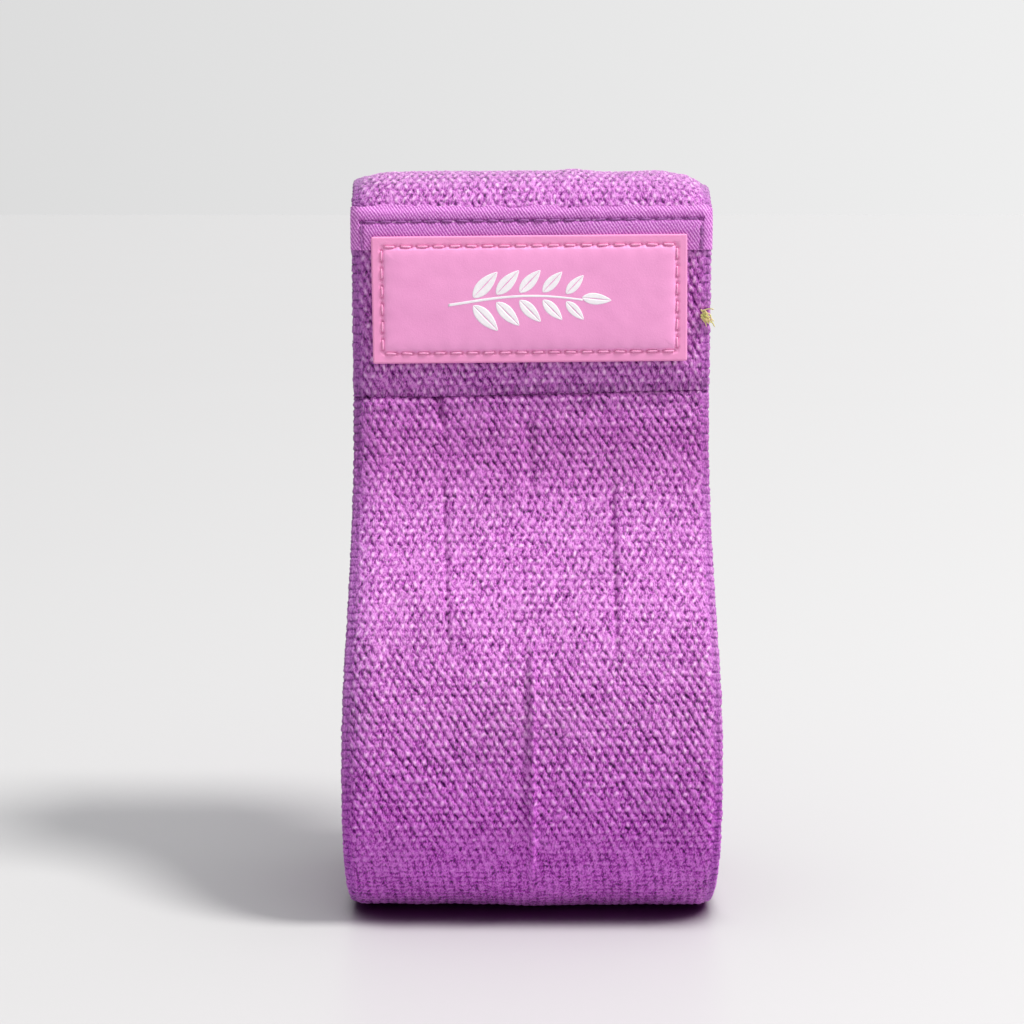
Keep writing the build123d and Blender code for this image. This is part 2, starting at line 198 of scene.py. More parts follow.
# Strip positions of the landmarks. The webbing pieces part at CUT_Z and SEAM_Z.
CUT_Z, SEAM_Z = 62.0, 112.0
FOLD = nearest_along(0, 0)
BACK_TOP = nearest_along(BACK_LOOP_Y, BACK_LOOP_Z + BACK_LOOP_RADIUS)
INNER_FOLD = nearest_along(0, STACK)
LABEL_TOP = nearest_along(LABEL_LOOP_Y, LABEL_LOOP_Z + LABEL_LOOP_RADIUS)
FRONT_CUT = along_at(FRONT_OUTER, CUT_Z, 0, FOLD)
FRONT_SEAM = nearest_along(OVERLAP_Y, SEAM_Z, 0, FOLD)
BACK_CUT = along_at(BACK_OUTER, CUT_Z, FOLD, BACK_TOP)
BACK_SEAM = along_at(BACK_OUTER, SEAM_Z, FOLD, BACK_TOP)
BACK_IN_SEAM = along_at(BACK_INNER, SEAM_Z, BACK_TOP, INNER_FOLD)
BACK_IN_CUT = along_at(BACK_INNER, CUT_Z, BACK_TOP, INNER_FOLD)
FRONT_IN_CUT = along_at(FRONT_INNER, CUT_Z, INNER_FOLD, LABEL_TOP)
FRONT_IN_SEAM = along_at(FRONT_INNER, SEAM_Z, INNER_FOLD, LABEL_TOP)
PANEL_TOP = nearest_along(PANEL_Y, LABEL_LOOP_Z, LABEL_TOP, TOTAL)
PANEL_EDGE_Z, PANEL_EDGE_SLOPE = 111.6, 0.026    # the panel's lower edge, rising towards +X
PANEL_END = nearest_along(PANEL_Y, PANEL_EDGE_Z, PANEL_TOP, TOTAL)
PANEL_JOIN = LABEL_TOP - 8.0                     # where the panel piece starts
OVERLAP_END = FRONT_SEAM - 3.0                   # where the overlap ply meets the front ply


def panel_edge(x):
    return PANEL_EDGE_Z + x * PANEL_EDGE_SLOPE


# ---------------------------------------------------------------------------
# Noise and blending curves
# ---------------------------------------------------------------------------
def hash_value(i, j, seed=0):
    """A repeatable random value from 0 to 1 for a pair of whole numbers."""
    value = np.sin(i * 127.1 + j * 311.7 + seed * 74.7) * 43758.5453
    return value - np.floor(value)


def noise(x, y, seed=0):
    """Smooth value noise from -1 to 1."""
    i, j = np.floor(x), np.floor(y)
    part_x, part_y = x - i, y - j
    part_x = part_x * part_x * (3 - 2 * part_x)
    part_y = part_y * part_y * (3 - 2 * part_y)
    low = hash_value(i, j, seed) * (1 - part_x) + hash_value(i + 1, j, seed) * part_x
    high = hash_value(i, j + 1, seed) * (1 - part_x) + hash_value(i + 1, j + 1, seed) * part_x
    return (low * (1 - part_y) + high * part_y) * 2 - 1


def smooth(start, end, value):
    """0 at start, easing to 1 at end; start may be the larger."""
    part = np.clip((value - start) / (end - start), 0, 1)
    return part * part * (3 - 2 * part)


def bell(offset, width):
    return np.exp(-(offset / width) ** 2)


def from_middle(cell):
    """The distance from the middle of a unit cell, -0.5 to 0.5."""
    return cell - np.floor(cell) - 0.5


def table_at(z, rows):
    """Interpolates a table of (height, value)."""
    heights, values = zip(*rows)
    return np.interp(z, heights, values)


# ---------------------------------------------------------------------------
# The weave
# ---------------------------------------------------------------------------
BEAD_PITCH = 1.80                        # across the band
ROW_PITCH = 1.82                         # along the band
FOLD_ROW_PITCH = 1.60                    # rows sit closer round the bottom of the fold
ROW_OFFSET = 4                           # table index of row 0
SELVEDGE_PITCH = 1.86

pitch = FOLD_ROW_PITCH + (ROW_PITCH - FOLD_ROW_PITCH) * smooth(18, 34, PATH_Z)
PHASE = np.cumsum(STEP / np.where(ALONG > INNER_FOLD, ROW_PITCH, pitch))
row_numbers = np.arange(-ROW_OFFSET, int(PHASE[-1]) + 8)
ROW_ALONG = np.interp(row_numbers + 0.5, PHASE, ALONG)
ROW_Z = np.interp(ROW_ALONG, ALONG, PATH_Z)


def per_row(panel, strip):
    """A value for each row from (height, value) tables for the panel and the rest."""
    return np.where(ROW_ALONG > LABEL_TOP - 16, table_at(ROW_Z, panel), table_at(ROW_Z, strip))


# how far each row is shifted from the last, in beads
ROW_SHIFT = per_row(
    [(112, 0.60), (150, 0.55), (156, 0.5), (160, 0.5)],
    [(0, 0.02), (6, 0.04), (12, 0.12), (18, 0.42), (25, 0.60), (36, 0.66), (52, 0.68),
     (60, 0.60), (68, 0.52), (92, 0.55), (98, 0.66), (112, 0.66)])
# how far the beads lean
ROW_SLANT = per_row(
    [(112, 0.60), (149, 0.5), (155, 0.3), (160, 0.3)],
    [(0, 0.03), (6, 0.06), (12, 0.2), (19, 0.45), (26, 0.6), (36, 0.66), (52, 0.68),
     (60, 0.5), (68, 0.36), (92, 0.42), (98, 0.62), (112, 0.62)])
# how far neighbouring rows lean opposite ways
ROW_ZIGZAG = per_row(
    [(112, 0.0), (149, 0.2), (152, 0.75), (160, 0.6)],
    [(0, 0), (52, 0), (60, 0.5), (68, 0.8), (84, 0.8), (92, 0.35), (99, 0), (112, 0)])
ROW_START = np.cumsum(ROW_SHIFT)


def weave(x, along):
    """Height of the woven beads, a random value per bead, and the glint on each bead."""
    warp_x = x + 0.20 * noise(x / 7.0, along / 9.0, 3) + 0.17 * noise(x / 1.9, along / 2.3, 5)
    warp_along = (along + 0.22 * noise(x / 11.0, along / 13.0, 9)
                  + 0.35 * np.sin(x / 21.0 + 0.6) + 0.15 * noise(x / 1.7, along / 1.9, 6))
    row_here = np.interp(warp_along, ALONG, PHASE)
    shape = np.broadcast(x, along).shape
    height = np.full(shape, -1.0)
    shade, pit, glint = np.zeros(shape), np.zeros(shape), np.zeros(shape)
    for step in (-1, 0, 1):
        row = np.floor(row_here) + step
        rise = row_here - (row + 0.5)
        k = np.clip(row.astype(int) + ROW_OFFSET, 0, len(ROW_START) - 1)
        zigzag = ROW_ZIGZAG[k]
        slant = ROW_SLANT[k] * (1 - zigzag) + zigzag * np.where(k % 2 == 0, 0.62, -0.38)
        column = (warp_x / BEAD_PITCH - ROW_START[k] - slant * rise
                  + 0.10 * (hash_value(row, 0, 2) - 0.5))
        square = 1 - smooth(0.03, 0.35, ROW_SHIFT[k])       # 1 where the cells stack square
        twill = smooth(0.50, 0.64, ROW_SHIFT[k]) * (1 - zigzag)
        cell = np.floor(column)
        sideways = column - cell - 0.5
        random = hash_value(cell, row, 1)
        random_shape = hash_value(cell, row, 4) - 0.5
        bead = (1 - (0.33 + 0.10 * random_shape) * (np.abs(sideways) / 0.5) ** 2.3
                - (0.31 + 0.10 * square) * (np.abs(rise) / 0.56) ** 2.5 + 0.22 * (random - 0.5))
        above = bead > height
        height = np.where(above, bead, height)
        shade = np.where(above, random, shade)
        # the hole low on each bead's +X side, which the material darkens as painted shade
        cell = np.round(column - 0.94)
        random, random_side = hash_value(cell, row, 16), hash_value(cell, row, 17) - 0.5
        hole = (bell(column - 0.94 - cell + 0.16 * random_side, 0.165)
                * bell(rise + 0.26 - 0.10 * twill + 0.16 * (random - 0.5), 0.25 + 0.14 * twill))
        pit = np.maximum(pit, (0.35 + 0.95 * random) * hole)
        # the glint of the raised strand, turned at random
        cell = np.round(column - 0.36)
        sideways = column - 0.36 - cell
        random, random_turn = hash_value(cell, row, 18), hash_value(cell, row, 19) - 0.5
        turn = 0.55 + 1.3 * random_turn - 0.9 * zigzag * (k % 2)
        across = sideways * np.cos(turn) + (rise - 0.08) * np.sin(turn)
        lengthwise = (rise - 0.08) * np.cos(turn) - sideways * np.sin(turn)
        glint = np.maximum(
            glint, (0.25 + 0.95 * random) * bell(across, 0.13) * bell(lengthwise, 0.32))
    crinkle = (0.20 * noise(x / 0.50 + along / 1.2, along / 0.80, 14)
               + 0.20 * noise(x / 0.29, along / 0.40 - x / 1.2, 15))
    # the weave is flatter at the foot of the outer plies
    flat = smooth(26, 14, np.interp(warp_along, ALONG, PATH_Z)) * (warp_along < INNER_FOLD)
    glint = glint * (1 - 0.72 * flat)
    pit = pit * (1 - 0.50 * flat)
    height = height + (0.82 - height) * 0.12 * flat
    height = np.clip(height + crinkle + 0.16 * glint - 0.52 * pit, -0.35, 1.2)
    return height, shade, np.clip(glint, 0, 1)


def selvedge(along):
    """Height of the rounded edge loops with narrow notches, and a random value per loop."""
    cell = (along + 0.25 * noise(along / 6.0, 0.5, 12)) / SELVEDGE_PITCH
    notch = np.abs(from_middle(cell)) * 2      # 0 in the middle of a loop, 1 at a notch
    return 1 - bell(1 - notch, 0.20), hash_value(np.floor(cell), 0, 21)


# ---------------------------------------------------------------------------
# Mesh helpers
# ---------------------------------------------------------------------------
def build_object(name, verts, quads, tris=(), attributes=None):
    """Makes an object from points in mm; its quads are smooth and its triangles flat."""
    verts = np.asarray(np.asarray(verts) * MM, np.float32)
    quads = np.asarray(quads, np.int32).reshape(-1, 4)
    tris = np.asarray(tris, np.int32).reshape(-1, 3)
    corners = np.concatenate([quads.ravel(), tris.ravel()])
    starts = np.concatenate([np.arange(len(quads)) * 4, quads.size + np.arange(len(tris)) * 3])
    count = len(starts)
    mesh = bpy.data.meshes.new(name)
    mesh.vertices.add(len(verts))
    mesh.vertices.foreach_set("co", verts.ravel())
    mesh.loops.add(len(corners))
    mesh.loops.foreach_set("vertex_index", corners)
    mesh.polygons.add(count)
    mesh.polygons.foreach_set("loop_start", starts.astype(np.int32))
    mesh.polygons.foreach_set("use_smooth", np.arange(count) < len(quads))
    mesh.update(calc_edges=True)
    mesh.validate()
    for key, values in (attributes or {}).items():
        values = np.asarray(values, np.float32)
        if values.shape[1] == 4:
            kind, field = "FLOAT_COLOR", "color"
        else:
            kind, field = "FLOAT_VECTOR", "vector"
        attribute = mesh.attributes.new(key, kind, "POINT")
        attribute.data.foreach_set(field, values.ravel())
    ob = bpy.data.objects.new(name, mesh)
    bpy.context.scene.collection.objects.link(ob)
    return ob


def grid_faces(rows, columns, wrap=False, base=0, flip=False):
    """Quads over a grid of vertices, closed round each row if wrap."""
    i = np.arange(rows - 1)[:, None]
    j = np.arange(columns if wrap else columns - 1)[None, :]
    here = i * columns + j
    beyond = i * columns + (j + 1) % columns
    quads = np.stack([here, beyond, beyond + columns, here + columns], -1).reshape(-1, 4) + base
    return quads[:, ::-1] if flip else quads


def grid_border(rows, columns):
    """The vertices round the border of a grid, in order."""
    index = np.arange(rows * columns).reshape(rows, columns)
    return np.concatenate([index[0, :], index[1:, -1], index[-1, -2::-1], index[-2:0:-1, 0]])


def joined(parts):
    """Joins (vertices, faces) pairs into one pair."""
    verts, faces, base = [], [], 0
    for part_verts, part_faces in parts:
        verts.append(part_verts)
        faces.append(part_faces + base)
        base += len(part_verts)
    return np.concatenate(verts), np.concatenate(faces)


def face_outwards(ob, fill_holes=False):
    mesh = bmesh.new()
    mesh.from_mesh(ob.data)
    if fill_holes:
        bmesh.ops.holes_fill(mesh, edges=[e for e in mesh.edges if e.is_boundary], sides=0)
    bmesh.ops.recalc_face_normals(mesh, faces=mesh.faces)
    mesh.to_mesh(ob.data)
    mesh.free()


def smooth_all(ob):
    for polygon in ob.data.polygons:
        polygon.use_smooth = True


# How the pieces move: one name rides a part. A (part, part, from, to) entry, in metres, names a
# blend between two parts, which fit() does not apply: it only bakes such pieces in place.
LABEL_END = ("front_end",)
BACK_END = ("back_end",)
FRONT_BEND = ("fold_base", "front_arm", (0, -0.008, 0.0), (0, -0.032, 0.056))
BACK_BEND = ("fold_base", "back_arm", (0, 0.008, 0.0), (0, 0.032, 0.056))
STRETCH = ((0, 0, 0.066), (0, 0, 0.109))
FRONT_STRETCH = ("front_arm", "front_end", *STRETCH)
BACK_STRETCH = ("back_arm", "back_end", *STRETCH)


def fit(ob, material, replaced, motion=LABEL_END):
    """Gives a piece its material, hides the CAD parts it replaces and rides it on its part's
    body; a piece given a blend is only baked in place.
    """
    ob.data.materials.append(material)
    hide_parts(*replaced)
    if len(motion) == 1:
        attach(ob, *motion)
    else:
        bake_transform(ob)


# ---------------------------------------------------------------------------
# Materials
# ---------------------------------------------------------------------------
class Graph:
    """Short ways to add nodes to a node tree."""

    def __init__(self, tree):
        self.tree = tree
        tree.nodes.clear()

    def node(self, kind, **settings):
        node = self.tree.nodes.new(kind)
        for key, value in settings.items():
            setattr(node, key, value)
        return node

    def link(self, output, socket):
        self.tree.links.new(output, socket)

    def math(self, operation, *values, clamp=False):
        node = self.node("ShaderNodeMath", operation=operation, use_clamp=clamp)
        for socket, value in zip(node.inputs, values):
            if isinstance(value, bpy.types.NodeSocket):
                self.link(value, socket)
            else:
                socket.default_value = value
        return node.outputs[0]

    def scaled(self, value, factor):
        return self.math("MULTIPLY", value, factor)

    def centred(self, value, factor):
        """A 0 to 1 value moved to straddle 0, then scaled."""
        return self.scaled(self.math("SUBTRACT", value, 0.5), factor)

    def fade(self, limit, value, width):
        """Falls to 0 where value reaches limit and is 1 from a width below it."""
        return self.math("MULTIPLY", self.math("SUBTRACT", limit, value), 1 / width, clamp=True)

    def distance(self, value, place):
        return self.math("ABSOLUTE", self.math("SUBTRACT", value, place), 0.0)

    def map_range(self, value, source, target, interpolation="LINEAR"):
        node = self.node("ShaderNodeMapRange", interpolation_type=interpolation)
        ends = zip(("From Min", "From Max", "To Min", "To Max"), source + target)
        for key, end in ends:
            node.inputs[key].default_value = end
        self.link(value, node.inputs["Value"])
        return node.outputs[0]

    def mix(self, factor, first, second, blend="MIX"):
        node = self.node("ShaderNodeMix", data_type="RGBA", blend_type=blend)
        for i, value in ((0, factor), (6, first), (7, second)):
            if isinstance(value, bpy.types.NodeSocket):
                self.link(value, node.inputs[i])
            elif isinstance(value, float):
                node.inputs[i].default_value = value
            else:
                node.inputs[i].default_value = (*value, 1.0)
        return node.outputs[2]

    def tint(self, factor, colour, multiplier):
        return self.mix(factor, colour, multiplier, "MULTIPLY")

    def ramp(self, factor, stops):
        """Stops are (position, colour)."""
        node = self.node("ShaderNodeValToRGB")
        elements = node.color_ramp.elements
        while len(elements) < len(stops):
            elements.new(0.5)
        for element, (position, colour) in zip(elements, stops):
            element.position = position
            element.color = (*colour, 1.0)
        self.link(factor, node.inputs[0])
        return node.outputs[0]

    def noise(self, vector, scale, detail, roughness):
        node = self.node("ShaderNodeTexNoise")
        self.link(vector, node.inputs["Vector"])
        node.inputs["Scale"].default_value = scale
        node.inputs["Detail"].default_value = detail
        node.inputs["Roughness"].default_value = roughness
        return node.outputs["Fac"]

    def mapping(self, vector, scale, turn=0):
        """Scales a vector and turns it about Z, in degrees."""
        node = self.node("ShaderNodeMapping")
        self.link(vector, node.inputs["Vector"])
        node.inputs["Scale"].default_value = scale
        node.inputs["Rotation"].default_value = (0, 0, math.radians(turn))
        return node.outputs[0]

    def fibres(self, vector, scale, detail, roughness, turn=0):
        """Noise stretched along a slanting direction."""
        return self.noise(self.mapping(vector, scale, turn), 1.0, detail, roughness)

    def channels(self, colour):
        node = self.node("ShaderNodeSeparateColor")
        self.link(colour, node.inputs[0])
        return node.outputs

    def axes(self, vector):
        node = self.node("ShaderNodeSeparateXYZ")
        self.link(vector, node.inputs[0])
        return node.outputs


class Surface(Graph):
    """A material with one principled shader."""

    def __init__(self, name):
        self.material = bpy.data.materials.new(name)
        self.material.use_nodes = True
        super().__init__(self.material.node_tree)
        output = self.node("ShaderNodeOutputMaterial")
        self.shader = self.node("ShaderNodeBsdfPrincipled")
        self.link(self.shader.outputs[0], output.inputs[0])

    def attribute(self, name):
        return self.node("ShaderNodeAttribute", attribute_name=name).outputs

    def drive(self, key, output):
        """Links an output to one of the shader's inputs."""
        self.link(output, self.shader.inputs[key])

    def set(self, **values):
        for key, value in values.items():
            self.shader.inputs[key.replace("_", " ")].default_value = value

    def bump(self, height, strength, distance):
        """Distance is in metres."""
        node = self.node("ShaderNodeBump")
        node.inputs["Strength"].default_value = strength
        node.inputs["Distance"].default_value = distance
        self.link(height, node.inputs["Height"])
        self.drive("Normal", node.outputs[0])


# along the strip from the fold to 46 mm up the front
front_low = (ALONG < FOLD) & (ALONG > FRONT_CUT) & (PATH_Z < 46)
FOOT_REACH = float(FOLD - ALONG[front_low][0])


def webbing_material():
    """Reads "fab" (height, shade, edge, glint) and "fc" (x, strip position, offset)."""
    s = Surface("woven_elastic")
    fabric = s.attribute("fab")
    height, shade, edge = s.channels(fabric["Color"])[:3]
    coord = s.attribute("fc")["Vector"]
    strands = s.fibres(coord, (2.5, 1.25, 1.5), detail=2.0, roughness=0.60, turn=32)
    hair = s.fibres(coord, (3.6, 1.7, 1.8), detail=2.0, roughness=0.60, turn=-24)
    fleck = s.fibres(coord, (1.1, 0.8, 0.6), detail=4.0, roughness=0.65, turn=30)
    broad = s.fibres(coord, (0.045, 0.05, 0.02), detail=2.0, roughness=0.5)
    # the purple, picked by bead height broken up by fibres; painted shade darkens the low gaps,
    # pits and edge notches
    broken = s.math("ADD", height, s.centred(strands, 2.50))
    broken = s.math("ADD", broken, s.centred(hair, 2.40))
    colour = s.ramp(broken, [
        (0.0, (0.055, 0.003, 0.075)), (0.25, (0.150, 0.007, 0.175)),
        (0.52, (0.310, 0.025, 0.328)), (0.85, (0.476, 0.072, 0.486)),
        (1.0, (0.636, 0.180, 0.628))])
    # some beads are paler
    pale = s.scaled(s.math("SUBTRACT", shade, 0.45, clamp=True), 0.30)
    colour = s.mix(pale, colour, (0.74, 0.30, 0.76))
    # the glints
    patchy = s.math("ADD", -0.15, s.scaled(strands, 2.4))
    glint = s.math("MULTIPLY", fabric["Alpha"], patchy, clamp=True)
    colour = s.mix(glint, colour, (0.96, 0.56, 0.92))
    # rosy flecks
    rosy = s.channels(s.ramp(fleck, [(0.42, (0, 0, 0)), (0.75, (1, 1, 1))]))[0]
    colour = s.mix(s.scaled(rosy, 0.14), colour, (0.66, 0.16, 0.50))
    # broad darker patches
    patch = s.scaled(s.math("SUBTRACT", 0.5, broad, clamp=True), 0.55)
    light = s.math("SUBTRACT", 1.0, patch)
    grey = s.node("ShaderNodeCombineColor")
    for i in range(3):
        s.link(light, grey.inputs[i])
    colour = s.tint(1.0, colour, grey.outputs[0])
    colour = s.mix(s.scaled(edge, 0.30), colour, (0.27, 0.06, 0.33))
    x, along = s.axes(coord)[:2]
    # painted shade round the foot of the fold: a wide darker, more saturated band; then painted
    # light in a lighter band within it
    from_fold = s.distance(along, float(FOLD))
    low = s.fade(FOOT_REACH, from_fold, 22.0)
    colour = s.tint(s.scaled(low, 0.75), colour, (1.0, 0.72, 1.06))
    foot_painted_light = s.fade(46.0, from_fold, 12.0)
    colour = s.tint(foot_painted_light, colour, (1.12, 1.14, 1.15))
    # deeper shade along the -X selvedge
    left = s.fade(-32.5, x, 4.5)
    left = s.math("MULTIPLY", left, s.math("SUBTRACT", 1.0, s.scaled(low, 0.70)))
    colour = s.tint(left, colour, (0.74, 0.70, 0.79))
    # painted shade under the seam, where the label panel shades the strip
    under = s.fade(16.0, s.distance(along, float(FRONT_SEAM) + 12.0), 12.0)
    colour = s.tint(s.scaled(under, 0.95), colour, (0.89, 0.71, 0.87))
    # painted sheen: paler and greyer over the top of the label end, where the top-lit fibres
    # shine
    crest_sheen = s.fade(10.5, s.distance(along, float(LABEL_TOP)), 6.0)
    colour = s.mix(s.scaled(crest_sheen, 0.13), colour, (0.30, 0.46, 0.30))
    s.drive("Base Color", colour)
    s.drive("Roughness", s.math("ADD", 0.30, s.scaled(strands, 0.22)))
    # fibre relief from three sizes of noise
    fine = s.fibres(coord, (16, 5, 8), detail=3.0, roughness=0.7, turn=30)
    small = s.math("ADD", s.scaled(hair, 0.4), s.scaled(fine, 0.2))
    s.bump(s.math("ADD", s.scaled(strands, 0.5), small), strength=0.85, distance=0.0005)
    s.set(Sheen_Weight=0.17, Sheen_Roughness=0.40, Sheen_Tint=(1.0, 0.75, 1.0, 1))
    # no shine in the gaps, and less at the foot
    raised = s.math("MULTIPLY", height, 1.25, clamp=True)
    dulled = s.math("SUBTRACT", 1.0, s.scaled(low, 0.60))
    s.drive("Specular IOR Level", s.math("MULTIPLY", s.scaled(0.62, raised), dulled))
    return s.material


def tape_material():
    s = Surface("satin_twill_tape")
    height = s.channels(s.attribute("fab")["Color"])[0]
    coord = s.attribute("fc")["Vector"]
    strands = s.fibres(coord, (5, 2.4, 1), detail=3.0, roughness=0.62, turn=35)
    # the satin pattern, darkened in the stitch groove as painted shade
    s.drive("Base Color", s.ramp(s.math("ADD", height, s.centred(strands, 1.6)), [
        (0.0, (0.120, 0.012, 0.140)), (0.4, (0.370, 0.062, 0.370)),
        (0.75, (0.580, 0.150, 0.575)), (1.0, (0.820, 0.380, 0.800))]))
    s.drive("Roughness", s.math("ADD", 0.42, s.scaled(strands, 0.25)))
    s.bump(strands, strength=0.6, distance=0.00012)
    s.set(Sheen_Weight=0.15, Specular_IOR_Level=0.45)
    return s.material


def plain_material(name, first, second, patch, roughness, grain, depth, sheen=0.0, specular=0.4):
    """Two mottled colours and a grain.

    patch and grain are noise scales per mm; depth is the grain's, in metres.
    """
    s = Surface(name)
    coord = s.mapping(s.node("ShaderNodeTexCoord").outputs["Object"], (1000, 1000, 1000))
    mottle = s.noise(coord, patch, detail=3.0, roughness=0.55)
    mottle = s.ramp(mottle, [(0.3, (0, 0, 0)), (0.7, (1, 1, 1))])
    s.drive("Base Color", s.mix(mottle, first, second))
    rough = s.noise(coord, grain, detail=4.0, roughness=0.6)
    s.drive("Roughness", s.math("ADD", roughness, s.centred(rough, 0.25)))
    s.bump(rough, strength=0.6, distance=depth)
    s.set(Sheen_Weight=sheen, Specular_IOR_Level=specular)
    return s.material


WEBBING = webbing_material()
TAPE = tape_material()
RIM = plain_material(
    "label_rim_leather", (0.860, 0.300, 0.575), (0.890, 0.325, 0.600),
    patch=0.35, roughness=0.42, grain=3.2, depth=0.00008, specular=0.45)
PAD = plain_material(
    "label_pad_leather", (0.860, 0.330, 0.625), (0.895, 0.355, 0.655),
    patch=0.16, roughness=0.40, grain=3.0, depth=0.00007, specular=0.45)
PRINT = plain_material(
    "white_print", (0.88, 0.84, 0.88), (0.95, 0.92, 0.95),
    patch=0.8, roughness=0.45, grain=4.0, depth=0.00004)
PINK = plain_material(
    "pink_thread", (0.840, 0.280, 0.540), (0.900, 0.400, 0.640),
    patch=2.2, roughness=0.55, grain=6.0, depth=0.00008, sheen=0.3)
# darker than the strip's purple, as painted shade: these stitches sit shaded in their grooves
PURPLE = plain_material(
    "purple_thread", (0.230, 0.050, 0.260), (0.360, 0.100, 0.370),
    patch=2.2, roughness=0.6, grain=6.0, depth=0.00008, sheen=0.3)
RUBBER = plain_material(
    "grip_rubber", (0.33, 0.13, 0.34), (0.38, 0.16, 0.39),
    patch=0.4, roughness=0.55, grain=2.0, depth=0.00006)
LOOSE = plain_material(
    "loose_thread", (0.58, 0.62, 0.16), (0.80, 0.62, 0.30),
    patch=1.2, roughness=0.6, grain=5.0, depth=0.00006, sheen=0.4)

# ---------------------------------------------------------------------------
# Webbing
# ---------------------------------------------------------------------------
HALF_WIDTH = [                           # (height, half the band's width)
    (0, 39.2), (6, 39.7), (14, 40.0), (30, 40.1), (44, 40.0), (54, 39.75), (66, 39.3),
    (76, 39.1), (88, 38.95), (100, 38.85), (112, 38.9), (160, 38.9)]
WEAVE_DEPTH = 0.50
DEPTH_SHARE = [                          # (height, share of the weave's depth)
    (0, 0.62), (10, 0.7), (24, 0.85), (34, 1.0), (56, 1.0), (64, 0.85), (90, 0.9),
    (112, 0.95), (148, 0.9), (160, 0.85)]
MESH_WIDTH = 78.0                        # width that sets the number of columns
INNER_SPACING = 1.1                      # between columns on the inner face
RIM_COUNT = 9                            # vertices round each edge
OVERLAP, TUCK = 0.7, 0.12                # each piece runs on and slips under the next
RIDGE_X = (-18.9, -0.4, 18.1)            # low ridges opposite the grip strips


def droop(x, z):
    """How far the top of the label end sags at its corners."""
    sag = (0.9 * smooth(-31.0, -37.5, x) + 0.25 * smooth(-20, -33, x)
           + 0.9 * smooth(27.0, 34.0, x) + 2.0 * smooth(33.0, 39.0, x)
           - 0.5 * bell(x - 9.5, 3.5))
    return sag * smooth(151.0, 159.0, z)


def front_relief(x, z, along):
    """Creases, gathers and the seam valley of the front ply."""
    # crease up the middle of the lower half
    lower = smooth(4, 12, z) * (1 - smooth(54, 64, z))
    relief = lower * (1.00 * bell(x - 0.2, 0.75) - 0.42 * bell(x + 1.6, 1.2))
    # dip in the middle under the seam
    dip = smooth(88, 94, z) * (1 - smooth(103, 109, z))
    relief = relief - dip * 0.75 * bell(x + 0.6, 1.6)
    # a groove and a ridge on either side, half way up
    middle = smooth(56, 62, z) * (1 - smooth(90, 96, z))
    relief = relief - middle * 0.58 * (
        bell(x - 17.6, 0.6) + 0.9 * bell(x + 18.4 + 0.05 * (z - 75), 0.6))
    relief = relief + middle * 0.25 * (bell(x - 19.2, 1.0) + bell(x + 16.8, 1.0))
    # gathers below the seam, and one deep pucker on the -X side
    gather = np.exp(-np.clip(111 - z, 0, 99) / 4.5)
    relief = relief + gather * 0.28 * noise(x / 3.1, 3.3, 41)
    pucker = bell(x + 19.8 + (z - 108) * 0.18, 0.75) * smooth(102.5, 106, z)
    relief = relief - 1.35 * pucker * (1 - smooth(110.5, 112, z))
    # the swell and valley where the strip goes in under the panel
    below = z - panel_edge(x)
    swell = 0.60 * bell(z - 107.2, 5.5) + 0.80 * bell(below + 1.55, 1.35)
    return relief + swell * smooth(39.5, 36.5, np.abs(x)) - 1.0 * bell(below - 1.2, 1.1)


def broad_relief(x, z, along, part):
    """Broad relief of a ply, outwards, shared by both its faces."""
    relief = 0.22 * noise(x / 16.0, along / 19.0, 31) + 0.10 * noise(x / 6.0, along / 8.0, 33)
    relief = relief - 0.20 * (np.abs(x) / 39.0) ** 8 - 0.60 * smooth(36.6, 39.2, np.abs(x))
    if part == "front":
        relief = relief + front_relief(x, z, along)
    elif part == "ridged":
        relief = relief + 0.10 * sum(bell(x - ridge, 1.6) for ridge in RIDGE_X)
    return relief


def panel_pull(x, z):
    """How far the panel's lower edge is drawn in, with puckers at its stitches."""
    above = z - panel_edge(x)
    fall = np.exp(-(np.clip(above, 0, 99) / 2.4) ** 1.6)
    cell = x / 2.3 + 0.3 * noise(x / 5, 1.5, 55)
    pucker = bell(from_middle(cell), 0.20) * (0.45 + 0.75 * hash_value(np.floor(cell), 0, 56))
    reach = np.exp(-np.clip(above - 0.5, 0, 99) / 1.9)
    return 1.15 * fall + 0.50 * pucker * reach * (np.abs(x) < 37.5)


def cap_faces(base, outer_count, inner_count, flip):
    """Triangles closing one end of a ply, whose section starts at vertex base."""
    right_start = base + outer_count
    inner_start = right_start + RIM_COUNT
    left_start = inner_start + inner_count
    half = RIM_COUNT // 2
    outer = list(range(base, right_start))
    right = list(range(right_start, inner_start))
    inner = list(range(inner_start, left_start))[::-1]
    left = list(range(left_start, left_start + RIM_COUNT))
    # both chains run from the -X edge to the +X edge
    upper = left[half:] + outer + right[:half]
    lower = left[:half + 1][::-1] + inner + right[half:][::-1]
    faces = []
    i = j = 0
    while i < len(upper) - 1 or j < len(lower) - 1:
        advance = i < len(upper) - 1
        if advance and j < len(lower) - 1:
            advance = (i + 1) / len(upper) <= (j + 1) / len(lower)
        if advance:
            face = (upper[i], upper[i + 1], lower[j])
            i += 1
        else:
            face = (upper[i], lower[j + 1], lower[j])
            j += 1
        if len(set(face)) == 3:
            faces.append(face if flip else face[::-1])
    return faces


